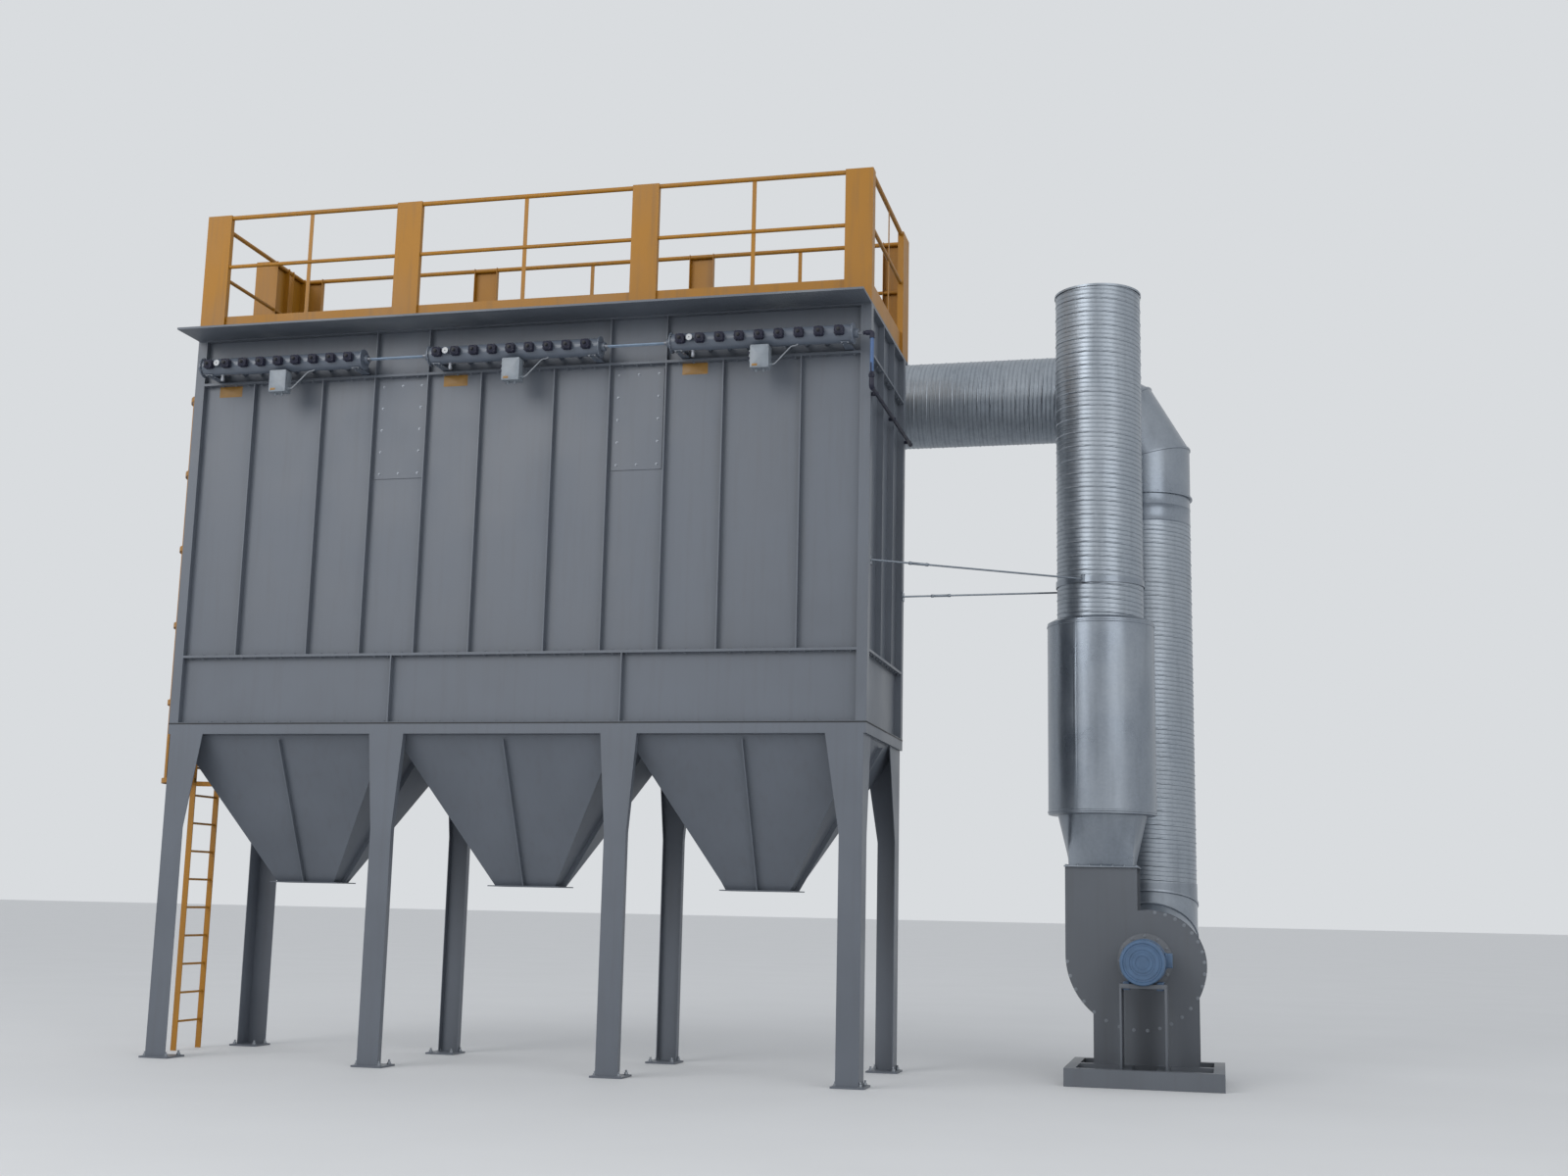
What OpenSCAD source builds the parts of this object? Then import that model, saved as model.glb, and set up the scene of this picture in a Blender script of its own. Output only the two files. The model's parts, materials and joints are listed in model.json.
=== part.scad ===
// Three-unit reverse-jet bag filter with fan, silencer and exhaust stack.
// X runs right along the front, Y runs back, Z is up and the ground is at Z = 0.

/* [Casing] */
// Number of filter units side by side
units = 3; // [2:1:4]
// Width of the narrow wall panels
panel_narrow = 560; // [480:10:640]
// Width of the wide wall panel in each unit
panel_wide = 750; // [650:10:850]
// Width of the folded corner strips
corner_w = 100; // [80:5:130]
// Panels along each end wall
depth_panels = 3; // [2:1:4]
// Height of the lower casing band
lower_h = 658; // [600:2:760]
// Height of the ribbed filter walls
main_h = 2762; // [2200:2:3200]
// Height of the head chamber
head_h = 460; // [400:10:560]
// Thickness of the folded casing sheet
sheet = 5; // [3:0.5:8]
// How far the ribs stand out from the sheet
rib_d = 60; // [40:5:80]
// Width of a rib's front edge
rib_t = 12; // [8:1:16]

/* [Legs] */
// Height of the legs, from the ground to the base frame
leg_h = 3065; // [2600:5:3400]
// Height of the base frame beams
frame_h = 100; // [80:5:140]
// Width of the base frame flanges
frame_w = 100; // [80:5:120]
// Width of a leg's front plate at the top
leg_top_w = 350; // [300:10:420]
// Width of the leg below its flared head
leg_w = 210; // [160:10:250]
// Height of the flared leg head
leg_flare_h = 900; // [600:20:1200]
// Depth of a rear leg's side plate at the top
leg_rear_side_w = 540; // [400:10:620]
// Depth of the folded side flanges of the middle legs
leg_fold = 70; // [50:2:76]
// Thickness of the leg plates
leg_t = 8; // [6:1:12]
// Distance of the end legs from the ends of the casing
leg_inset = 25; // [10:5:40]
// Length and width of the leg base plates
foot_w = 300; // [260:10:360]
// Thickness of the leg base plates
foot_t = 16; // [12:1:25]
// Radius of the anchor bolt holes
anchor_r = 11; // [7:1:14]
// Distance between anchor bolts in a base plate
anchor_pitch = 220; // [180:10:230]

/* [Hoppers] */
// Height of the hoppers, from the base frame to the outlet
hopper_h = 1400; // [1100:20:1700]
// Length of the rectangular hopper outlet
outlet_x = 600; // [450:10:750]
// Width of the rectangular hopper outlet
outlet_y = 300; // [250:10:400]
// Gap from the frame's outside to the hopper along X
hopper_gap_x = 40; // [40:5:60]
// Gap from the frame's outside to the hopper along Y
hopper_gap_y = 80; // [78:2:100]
// Thickness of the hopper plate
hopper_t = 5; // [4:0.5:8]
// How far the hopper ribs stand out
hopper_rib = 50; // [30:5:70]
// Width of the outlet flange
outlet_flange = 60; // [50:5:80]
// Thickness of the outlet flange
outlet_flange_t = 10; // [8:1:14]
// Radius of the outlet flange bolt holes
outlet_hole_r = 7; // [5:1:9]

/* [Roof and guardrail] */
// Thickness of the roof plate's edge
deck_t = 20; // [12:1:30]
// How far the canopy reaches out over the valves
canopy = 400; // [300:10:500]
// How far the roof stands out at the ends
deck_side = 0; // [0:5:60]
// How far the roof stands out at the rear
deck_rear = 120; // [20:10:200]
// Height of the guardrail above the roof
guard_h = 1310; // [1100:10:1400]
// Height of the mid rail above the roof
guard_mid_h = 764; // [500:2:800]
// Diameter of the top rail
top_rail_d = 45; // [34:1:50]
// Diameter of the mid rail
mid_rail_d = 38; // [28:1:42]
// Width of the wide guardrail plates
guard_plate_w = 265; // [200:5:320]
// Depth of the folded guardrail plates
guard_fold = 60; // [50:2:80]
// Thickness of the guardrail plates
guard_t = 6; // [4:1:8]
// How far the middle guardrail plates stand off the joints between the bays
guard_shift = 78; // [0:2:120]
// Width of the thin guardrail uprights
baluster_w = 40; // [30:2:50]
// Height of the toe plate
toe_h = 235; // [100:5:250]
// Clear width of the ladder gate
gate_w = 560; // [500:10:640]
// How far the screen beside the ladder gate stands out
screen_w = 200; // [100:10:240]

/* [Ladder] */
// Width between the ladder's side bars
ladder_w = 450; // [400:10:500]
// Distance from the casing to the ladder
ladder_off = 150; // [150:5:220]
// How far the ladder stands behind the middle of the casing's left end
ladder_shift = 100; // [0:10:160]
// Width of the side bars
stringer_w = 60; // [50:2:80]
// Thickness of the side bars
stringer_t = 10; // [8:1:14]
// Diameter of the rungs
rung_d = 22; // [20:1:30]
// Distance from rung to rung
rung_pitch = 280; // [230:5:300]
// Radius of the safety cage
cage_r = 320; // [310:5:360]
// Height of the lowest hoop
cage_z = 2669; // [2200:1:3000]
// Distance from hoop to hoop
hoop_pitch = 804; // [600:2:900]
// Number of hoops
hoops = 6; // [4:1:6]
// Height of the hoop and strap flats
flat_w = 50; // [40:2:60]
// Thickness of the hoop and strap flats
flat_t = 6; // [5:1:8]

/* [Compressed air] */
// Outer diameter of the air headers
header_d = 168; // [150:2:180]
// Length of an air header between its end caps
header_l = 1740; // [1700:10:1860]
// Distance from the casing's front to the header's axis
header_y = 200; // [190:5:240]
// Height of the header's axis above the head chamber's lower edge
header_z = 110; // [110:5:160]
// Distance from a unit's left edge to the right end of its air header
header_end = 1950; // [1900:10:2030]
// Valves on each header
valves = 9; // [6:1:9]
// Distance from valve to valve
valve_pitch = 188; // [160:2:190]
// Diameter of the valve body
valve_d = 104; // [90:2:120]
// Length of the valve body
valve_l = 56; // [46:2:80]
// Height of the valve seats above the header's skin
valve_seat = 8; // [4:1:12]
// Length of the header's end caps
cap_l = 40; // [30:2:50]
// How far the header's end flanges stand out
header_lip = 15; // [10:1:20]
// Tilt of the valves above level
valve_tilt = 0; // [0:1:40]
// Diameter of the blow pipes
blow_d = 48; // [38:1:52]
// Distance from a header's left end to the middle of its pilot box
pilot_x = 880; // [600:10:1000]
// Width of the pilot boxes
pilot_w = 178; // [150:2:200]
// Height of the pilot boxes
pilot_h = 220; // [180:5:260]
// Depth of the pilot boxes
pilot_d = 120; // [90:5:150]
// Gap between a header and the pilot box under it
pilot_gap = 10; // [5:1:20]
// Length of the drain under a header
drain_l = 60; // [40:5:80]
// Diameter of the linking air pipes
link_d = 16; // [10:1:20]
// Diameter of the supply pipe
supply_d = 28; // [20:1:34]
// Distance from the casing's right end to the supply pipe's axis
supply_off = 40; // [34:1:60]
// Distance from the head chamber's lower edge down to the supply pipe
supply_drop = 400; // [300:10:600]

/* [Covers] */
// Width of the access covers
cover_w = 500; // [440:5:520]
// Height of the access covers
cover_h = 980; // [800:10:1100]
// Distance from the head chamber down to the access covers
cover_drop = 50; // [30:5:90]
// Thickness of the access covers
cover_t = 8; // [5:1:10]

/* [Ducts] */
// Outer diameter of the main ducts
duct_d = 930; // [860:10:960]
// Thickness of the duct sheet
duct_t = 6; // [2:0.5:8]
// Distance from the casing's front to the duct plane
duct_y = 3300; // [3250:10:3450]
// Height of the horizontal duct's axis above the base frame
duct_z = 3805; // [3600:5:3860]
// Distance from the casing's right end to the drop duct's axis
drop_x = 2330; // [2100:10:2500]
// Centreline radius of the upper bend
bend_r = 1000; // [900:10:1100]
// Length of the smooth collar under the upper bend
collar_l = 150; // [100:10:200]
// Outer diameter of the branches from the head chamber
branch_d = 400; // [340:10:420]
// Width of the duct flange rings
ring_w = 40; // [30:2:50]
// Width of the flange rings of the branches
branch_ring_w = 20; // [16:2:24]
// Thickness of the duct flange rings
ring_t = 20; // [12:1:30]
// Outer diameter of the dirty-air inlets
inlet_d = 560; // [480:10:580]
// Length of the dirty-air inlets
inlet_l = 180; // [140:10:260]

/* [Fan and stack] */
// Outer diameter of the stack
stack_d = 850; // [780:10:880]
// Distance from the casing's right end to the stack's axis
stack_x = 1930; // [1850:10:2000]
// Distance from the casing's front to the stack's axis
stack_y = 2060; // [1950:10:2100]
// Height of the stack's mouth above the base frame
stack_top = 4520; // [4000:20:5000]
// Height of the silencer's top above the base frame
silencer_top = 1190; // [900:10:1400]
// Length of the silencer
silencer_l = 1900; // [1600:20:2000]
// Outer diameter of the silencer
silencer_d = 1044; // [1000:4:1100]
// Height of the fan shaft above the ground
shaft_z = 1100; // [1080:5:1180]
// First radius of the fan scroll
scroll_r = 480; // [440:5:500]
// Growth of the scroll's radius in each quarter turn
scroll_step = 90; // [80:2:95]
// Width of the fan casing along its shaft
fan_w = 600; // [500:10:640]
// Thickness of the fan's side plates
fan_plate = 12; // [8:1:16]
// How far the side plates stand out from the scroll
fan_rim = 30; // [20:2:40]
// Height of the fan's square outlet flange
fan_outlet_z = 1960; // [1900:10:2000]
// Centreline radius of the bend at the fan inlet
inlet_bend_r = 740; // [640:10:840]
// Diameter of the fan inlet
fan_inlet_d = 720; // [640:10:760]
// Length of the motor
motor_l = 620; // [500:10:700]
// Diameter of the motor
motor_d = 420; // [360:10:460]
// Length of the shaft guard between motor and fan
guard_l = 120; // [80:10:160]
// Distance from the motor's ends to its stool
stool_in = 60; // [40:5:80]
// Height of the fan base frame
fan_base_h = 160; // [120:10:200]
// Height of the clamp ring above the base frame
clamp_z = 1545; // [1400:5:1700]
// Height of the clamp ring
clamp_h = 60; // [40:5:80]
// Distance from the casing's front to the front stay rod
stay_y = 420; // [200:10:600]
// How far the rear stay rod starts under the clamp ring's middle
stay_drop = 110; // [0:10:200]
// Diameter of the stay rods
stay_d = 18; // [14:1:24]

/* [Hidden] */
$fn = 64;
far = 20000;
seat = 0.3;
weld = 2;
seam = 0.03;

// Casing levels and lengths
unit_w = 3 * panel_narrow + panel_wide;
casing_w = 2 * corner_w + units * unit_w - panel_narrow;
casing_d = 2 * corner_w + depth_panels * panel_narrow;
bay_w = casing_w / units;
z_base = leg_h + frame_h;
z_mid = z_base + lower_h;
z_head = z_mid + main_h;
z_deck = z_head + head_h;
z_walk = z_deck + deck_t;
skin = rib_d + sheet;

// Where the ribs of the long walls stand, from left to right
panels = [for (u = [0 : units - 1]) for (w = [panel_narrow, panel_wide, panel_narrow, panel_narrow]) w];
function before(i) = i == 0 ? corner_w : before(i - 1) + panels[i - 1];
long_ribs = [for (i = [1 : len(panels) - 2]) before(i)];
end_ribs = [for (i = [1 : depth_panels - 1]) i * panel_narrow];
bay_ribs = [for (i = [1 : units - 1]) i * bay_w];
head_ribs = [for (u = [1 : units - 1]) for (s = [0, 1]) corner_w + u * unit_w - s * panel_narrow];
cover_x = [for (u = [1 : units - 1]) corner_w + u * unit_w - panel_narrow / 2];

// Legs stand under the ends and under the joints between the bays
leg_x = [for (i = [0 : units]) i == 0 ? leg_inset : i == units ? casing_w - leg_inset : i * bay_w];

// Hopper sizes at the top
hop_x = bay_w - 2 * hopper_gap_x;
hop_y = casing_d - 2 * hopper_gap_y;

// The rear guardrail stands at the roof's rear edge, and the end runs between the front and rear ones
guard_back = casing_d + deck_rear;
end_run = guard_back - 2 * guard_fold;

// Ladder
ladder_y = casing_d / 2 + ladder_shift;
hoop_gap = 50;
hoop_x = -ladder_off - sqrt(pow(cage_r, 2) - pow(ladder_w / 2 + hoop_gap, 2));
hoop_half = acos(-(ladder_off + hoop_x) / cage_r);

// Air headers
header_cz = z_head + header_z;
supply_z = z_head - supply_drop;
function header_x0(i) = (i - 1) * unit_w + header_end - header_l;

// Ducts and fan
duct_cx = casing_w + drop_x;
duct_cz = z_base + duct_z;
branch_cz = z_head + head_h / 2;
bend_cx = duct_cx - bend_r;
bend_cz = duct_cz - bend_r;
stack_cx = casing_w + stack_x;
sil_top = z_base + silencer_top;
sil_bottom = sil_top - silencer_l;
mouth_z = z_base + stack_top;
clamp_cz = z_base + clamp_z;
drop_foot = shaft_z + inlet_bend_r;
scroll_left = scroll_step * 5 / 2 + scroll_r;
fan_out_w = 2 * (scroll_left - (duct_cx - stack_cx));
fan_back = stack_y + fan_w / 2 + fan_plate;
fan_front = stack_y - fan_w / 2 - fan_plate;

paint = "#6f747a";
galvanised = "#b8bec4";
safety_yellow = "#d98a1c";
valve_black = "#26242a";
pale_box = "#c9ccce";

// A tube along Z with a true bore
module tube(d, t, h) {
    difference() {
        cylinder(d = d, h = h);
        translate([0, 0, -1]) cylinder(d = d - 2 * t, h = h + 2);
    }
}

// A flat ring between two diameters
module flat_ring(d_in, d_out, h) {
    tube(d_out, (d_out - d_in) / 2, h);
}

// Cross-section of a folded panel run: a sheet set back behind standing ribs
module panel_profile(run, ribs) {
    translate([0, rib_d]) square([run, sheet]);
    for (p = ribs) translate([p - rib_t / 2, 0]) square([rib_t, skin]);
}

// Cross-section of a folded corner strip, seen from above at the front left corner
module corner_profile() {
    square([corner_w, sheet]);
    square([sheet, corner_w]);
    translate([corner_w - rib_t, 0]) square([rib_t, skin]);
    translate([0, corner_w - sheet]) square([skin, sheet]);
}

// A wall between two levels, with flanges along its lower and upper edge
module panel_wall(run, ribs, z0, z1) {
    translate([0, 0, z0]) linear_extrude(z1 - z0) panel_profile(run, ribs);
    for (z = [z0, z1 - rib_t]) translate([0, 0, z]) cube([run, skin, rib_t]);
}

// A long wall with both folded corners
module long_wall(ribs, z0, z1) {
    translate([corner_w, 0, 0])
        panel_wall(casing_w - 2 * corner_w, [for (p = ribs) p - corner_w], z0, z1);
    for (m = [0, 1]) translate([m * casing_w, 0, z0]) mirror([m, 0, 0])
        linear_extrude(z1 - z0) corner_profile();
}

// Placing of the four sides: each child is drawn as the front side
module at_rear() {
    translate([casing_w, casing_d, 0]) rotate(180) children();
}
module at_left() {
    translate([0, casing_d - corner_w, 0]) rotate(-90) children();
}
module at_right() {
    translate([casing_w, corner_w, 0]) rotate(90) children();
}

// Base frame: channel ring with the web outside and I-beams between the bays
module base_frame() {
    color(paint) translate([0, 0, leg_h]) {
        difference() {
            cube([casing_w, casing_d, frame_h]);
            translate([frame_w, frame_w, -1])
                cube([casing_w - 2 * frame_w, casing_d - 2 * frame_w, frame_h + 2]);
            translate([leg_t, leg_t, leg_t])
                cube([casing_w - 2 * leg_t, casing_d - 2 * leg_t, frame_h - 2 * leg_t]);
        }
        for (x = bay_ribs) translate([x, leg_t, 0]) {
            translate([-frame_w / 2, 0, 0]) cube([frame_w, casing_d - 2 * leg_t, leg_t]);
            translate([-frame_w / 2, 0, frame_h - leg_t]) cube([frame_w, casing_d - 2 * leg_t, leg_t]);
            translate([-leg_t / 2, 0, 0]) cube([leg_t, casing_d - 2 * leg_t, frame_h]);
        }
    }
}

// Outline of a plate that flares towards its top on one side, measured from that side's edge
module flare_plate(top_w, low_w) {
    polygon([
        [0, foot_t], [low_w, foot_t], [low_w, leg_h - leg_flare_h],
        [top_w, leg_h], [0, leg_h]
    ]);
}

// Outline of a middle leg, flared on both sides and made smaller all round by g
module middle_outline(g) {
    polygon([
        [-leg_w / 2 + g, foot_t - 1], [leg_w / 2 - g, foot_t - 1],
        [leg_w / 2 - g, leg_h - leg_flare_h], [leg_top_w / 2 - g, leg_h + 1],
        [-leg_top_w / 2 + g, leg_h + 1], [-leg_w / 2 + g, leg_h - leg_flare_h]
    ]);
}

// Base plate with four anchor holes, centred
module foot_plate() {
    difference() {
        translate([-foot_w / 2, -foot_w / 2, 0]) cube([foot_w, foot_w, foot_t]);
        for (sx = [-1, 1]) for (sy = [-1, 1])
            translate([sx * anchor_pitch / 2, sy * anchor_pitch / 2, -1])
                cylinder(r = anchor_r, h = foot_t + 2);
    }
}

// End leg: two flared plates that meet at the casing's corner
module corner_leg(side_w) {
    color(paint) {
        rotate([90, 0, 0]) mirror([0, 0, 1])
            linear_extrude(leg_t) flare_plate(leg_top_w, leg_w);
        rotate([90, 0, 90])
            linear_extrude(leg_t) flare_plate(side_w, leg_w);
        translate([foot_w / 2 - 2 * leg_inset, foot_w / 2 - leg_inset, 0]) foot_plate();
    }
}

// Middle leg: a channel folded from one plate, open to the rear
module middle_leg() {
    color(paint) {
        intersection() {
            rotate([90, 0, 0]) mirror([0, 0, 1]) difference() {
                linear_extrude(leg_fold) middle_outline(0);
                translate([0, 0, leg_t]) linear_extrude(leg_fold) middle_outline(leg_t);
            }
            translate([-leg_top_w, -1, foot_t]) cube([2 * leg_top_w, leg_fold + 2, leg_h - foot_t]);
        }
        translate([0, foot_w / 2 - leg_inset, 0]) foot_plate();
    }
}

// One leg of the front row; i counts from 0 at the left
module front_leg(i, side_w) {
    translate([leg_x[i], 0, 0]) {
        if (i == 0) corner_leg(side_w);
        if (i == units) mirror([1, 0, 0]) corner_leg(side_w);
        if (i > 0 && i < units) middle_leg();
    }
}

module rear_leg(i) {
    translate([0, casing_d, 0]) mirror([0, 1, 0]) front_leg(i, leg_rear_side_w);
}

// Solid pyramid between the hopper's top and its outlet, larger all round by g
module hopper_solid(g) {
    function side(top, low) = [
        [-low / 2 - g, -hopper_h], [low / 2 + g, -hopper_h],
        [top / 2 + g, 0], [-top / 2 - g, 0]
    ];
    intersection() {
        translate([0, far / 2, 0]) rotate([90, 0, 0])
            linear_extrude(far) polygon(side(hop_x, outlet_x));
        translate([-far / 2, 0, 0]) rotate([90, 0, 90])
            linear_extrude(far) polygon(side(hop_y, outlet_y));
    }
}

// Hollow hopper with a rib down each face, a top rim and a bolted outlet flange
module hopper(i) {
    bolt_x = outlet_x / 2 + outlet_flange / 2;
    bolt_y = outlet_y / 2 + outlet_flange / 2;
    rim_h = 2 * hopper_t;
    color(paint) translate([(i - 0.5) * bay_w, casing_d / 2, leg_h]) difference() {
        union() {
            hopper_solid(0);
            intersection() {
                hopper_solid(hopper_rib);
                union() {
                    translate([-rib_t / 2, -far / 2, -hopper_h + outlet_flange_t])
                        cube([rib_t, far, hopper_h - hopper_rib - outlet_flange_t]);
                    translate([-far / 2, -rib_t / 2, -hopper_h + outlet_flange_t])
                        cube([far, rib_t, hopper_h - hopper_rib - outlet_flange_t]);
                }
            }
            translate([-hop_x / 2, -hop_y / 2, -rim_h]) cube([hop_x, hop_y, rim_h]);
            translate([-outlet_x / 2 - outlet_flange, -outlet_y / 2 - outlet_flange, -hopper_h])
                cube([outlet_x + 2 * outlet_flange, outlet_y + 2 * outlet_flange, outlet_flange_t]);
        }
        hopper_solid(-hopper_t);
        for (z = [0, -hopper_h]) translate([0, 0, z]) linear_extrude(weld, center = true) square(z == 0
            ? [hop_x - 2 * hopper_t, hop_y - 2 * hopper_t]
            : [outlet_x - 2 * hopper_t, outlet_y - 2 * hopper_t], center = true);
        for (sx = [-1, 1]) for (sy = [-1, 1])
            translate([sx * bolt_x, sy * bolt_y, -hopper_h - 1])
                cylinder(r = outlet_hole_r, h = outlet_flange_t + 2);
    }
}

// Centres of the dirty-air inlets in the lower casing's rear side
module at_inlets() {
    for (i = [1 : units]) translate([(i - 0.5) * bay_w, casing_d, z_base + lower_h / 2])
        rotate([-90, 0, 0]) children();
}

// Lower casing: the plain band round the hoppers' mouths
module lower_casing() {
    color(paint) difference() {
        union() {
            long_wall(bay_ribs, z_base, z_mid);
            at_rear() long_wall(bay_ribs, z_base, z_mid);
            at_left() panel_wall(casing_d - 2 * corner_w, [], z_base, z_mid);
            at_right() panel_wall(casing_d - 2 * corner_w, [], z_base, z_mid);
        }
        at_inlets() translate([0, 0, -2 * skin]) cylinder(d = inlet_d - 2 * duct_t, h = 3 * skin);
    }
}

module wall_front() {
    color(paint) long_wall(long_ribs, z_mid, z_head);
}

module wall_rear() {
    color(paint) at_rear() long_wall(long_ribs, z_mid, z_head);
}

module wall_left() {
    color(paint) at_left() panel_wall(casing_d - 2 * corner_w, end_ribs, z_mid, z_head);
}

module wall_right() {
    color(paint) at_right() panel_wall(casing_d - 2 * corner_w, end_ribs, z_mid, z_head);
}

// Access covers, bolted to the sheet of the panels between the units
module access_covers() {
    color(paint) for (x = cover_x)
        translate([x - cover_w / 2, rib_d - cover_t, z_head - cover_drop - cover_h])
            cube([cover_w, cover_t, cover_h]);
}

// Centres of the clean-air outlets in the head chamber's rear side
module at_outlets() {
    for (i = [1 : units]) translate([(i - 0.5) * bay_w, casing_d, branch_cz])
        rotate([-90, 0, 0]) children();
}

module head_casing() {
    color(paint) difference() {
        union() {
            long_wall(head_ribs, z_head, z_deck);
            at_rear() long_wall(bay_ribs, z_head, z_deck);
            at_left() panel_wall(casing_d - 2 * corner_w, end_ribs, z_head, z_deck);
            at_right() panel_wall(casing_d - 2 * corner_w, end_ribs, z_head, z_deck);
        }
        at_outlets() translate([0, 0, -2 * skin]) cylinder(d = branch_d - 2 * duct_t, h = 3 * skin);
    }
}

// Roof plate, reaching out over the valves as a canopy
module roof_deck() {
    color(paint) translate([-deck_side, -canopy, z_deck])
        cube([casing_w + 2 * deck_side, canopy + casing_d + deck_rear, deck_t]);
}

// Distance from a header's left end to a valve, and to the drain between the first two
function valve_x(k) = header_l / 2 + (k - (valves - 1) / 2) * valve_pitch;
function drain_x() = valve_x(0.5);

// Places its child at each valve's spot on a header's axis
module at_valves(i) {
    for (k = [0 : valves - 1]) translate([header_x0(i) + valve_x(k), -header_y, header_cz]) children();
}

// Compressed-air tank: flanged ends with inlet caps, valve seats, blow pipes, drain and brackets
module air_header(i) {
    foot = 80;
    color(pale_box) {
        translate([header_x0(i), -header_y, header_cz]) {
            rotate([0, 90, 0]) {
                cylinder(d = header_d, h = header_l);
                for (z = [0, header_l - rib_t]) translate([0, 0, z])
                    cylinder(d = header_d + 2 * header_lip, h = rib_t);
                for (z = [-cap_l, header_l]) translate([0, 0, z]) cylinder(d = header_d / 2, h = cap_l);
            }
            for (x = [foot, header_l - foot]) {
                translate([x - flat_t / 2, 0, -header_d / 2 - flat_t])
                    cube([flat_t, header_y + rib_d, header_d / 2]);
                translate([x - foot / 2, -foot / 2, -header_d / 2 - flat_t + weld])
                    cube([foot, header_y + foot / 2 + rib_d, flat_t]);
            }
            translate([drain_x(), 0, -header_d / 2 - drain_l]) cylinder(d = link_d * 2, h = 2 * drain_l);
            translate([pilot_x - pilot_w / 4, -flat_t / 2, -header_d / 2 - pilot_gap - pilot_h / 2])
                cube([pilot_w / 2, flat_t, pilot_h / 2 + pilot_gap + foot / 4]);
        }
        at_valves(i) {
            rotate([90 - valve_tilt, 0, 0]) cylinder(d = valve_d * 0.7, h = header_d / 2 + valve_seat);
            rotate([-90, 0, 0]) cylinder(d = blow_d, h = header_y + rib_d);
        }
    }
}

// Diaphragm valves: round bodies with a bolted cap and a coil, each on its seat
module pulse_valves(i) {
    cap = 16;
    coil_d = 36;
    coil_l = 34;
    color(valve_black) at_valves(i) rotate([90 - valve_tilt, 0, 0])
        translate([0, 0, header_d / 2 + valve_seat]) {
            cylinder(d = valve_d, h = cap);
            cylinder(d = valve_d * 0.8, h = valve_l - cap);
            translate([0, 0, valve_l - cap]) cylinder(d = valve_d, h = cap);
            cylinder(d = coil_d, h = valve_l + coil_l);
        }
}

// Pilot box on the hanger under the header
module pilot_box(i) {
    color(pale_box) translate([
        header_x0(i) + pilot_x - pilot_w / 2,
        -header_y - flat_t / 2 - pilot_d,
        header_cz - header_d / 2 - pilot_gap - pilot_h
    ]) cube([pilot_w, pilot_d, pilot_h]);
}

// Round bar or pipe between two points
module rod(a, b, d) {
    v = b - a;
    translate(a) rotate([0, acos(v[2] / norm(v)), atan2(v[1], v[0])]) cylinder(d = d, h = norm(v));
}

// Linking pipes between the headers and the supply line along the right end
module air_line() {
    end_x = casing_w + supply_off;
    top = [end_x, -header_y, header_cz];
    low = [end_x, -header_y, supply_z];
    rear = [end_x, casing_d + ring_w, supply_z];
    valve = 70;
    color(valve_black) {
        for (i = [1 : units - 1]) for (s = [-1, 1])
            translate([header_x0(i) + header_l + cap_l, -header_y + s * link_d, header_cz])
                rotate([0, 90, 0]) cylinder(d = link_d, h = unit_w - header_l - 2 * cap_l);
        rod([header_x0(units) + header_l + cap_l, -header_y, header_cz], top, supply_d);
        rod(low, top, supply_d);
        rod(low, rear, supply_d);
        for (p = [top, low, rear]) translate(p) sphere(d = supply_d * 1.5);
        translate(low + [0, 0, valve]) cylinder(d = supply_d * 2, h = valve);
        for (y = [corner_w / 2, casing_d - corner_w / 2])
            translate([casing_w, y - flat_w / 2, supply_z - flat_t / 2]) cube([supply_off, flat_w, flat_t]);
    }
}

// A wide folded guardrail plate, open to the rear
module guard_plate(w) {
    difference() {
        cube([w, guard_fold, guard_h]);
        translate([guard_t, guard_t, -1]) cube([w - 2 * guard_t, guard_fold, guard_h + 2]);
    }
}

// A straight run of guardrail in the XZ plane from x = 0 to x = run
module guard_run(run, plates, balusters) {
    rail_y = guard_fold / 2;
    for (r = [[guard_h - top_rail_d / 2, top_rail_d], [guard_mid_h, mid_rail_d]])
        translate([0, rail_y, r[0]]) rotate([0, 90, 0]) cylinder(d = r[1], h = run);
    translate([0, rail_y - guard_t / 2, 0]) cube([run, guard_t, toe_h]);
    for (p = plates) translate([p[0], 0, 0]) guard_plate(p[1]);
    for (x = balusters) translate([x - baluster_w / 2, rail_y - guard_t / 2, 0])
        cube([baluster_w, guard_t, guard_h - top_rail_d / 2]);
}

// Wide plates stand at both ends and a little outside each joint between the bays
function plate_starts() = concat(
    [0],
    [for (x = bay_ribs) x - guard_plate_w / 2 + sign(round(x - casing_w / 2)) * guard_shift],
    [casing_w - guard_plate_w]
);

module guardrail_front() {
    color(safety_yellow) translate([0, 0, z_walk])
        guard_run(casing_w, [for (x = plate_starts()) [x, guard_plate_w]],
            [for (i = [1 : units]) (i - 0.5) * bay_w]);
}

module guardrail_rear() {
    color(safety_yellow) translate([0, guard_back, z_walk]) mirror([0, 1, 0])
        guard_run(casing_w, [for (x = plate_starts()) [x, guard_plate_w]],
            [for (i = [1 : units]) (i - 0.5) * bay_w]);
}

module guardrail_right() {
    color(safety_yellow) translate([casing_w, guard_fold, z_walk]) rotate(90)
        guard_run(end_run, [[0, guard_fold], [end_run - guard_plate_w, guard_plate_w]], [end_run / 2]);
}

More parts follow.
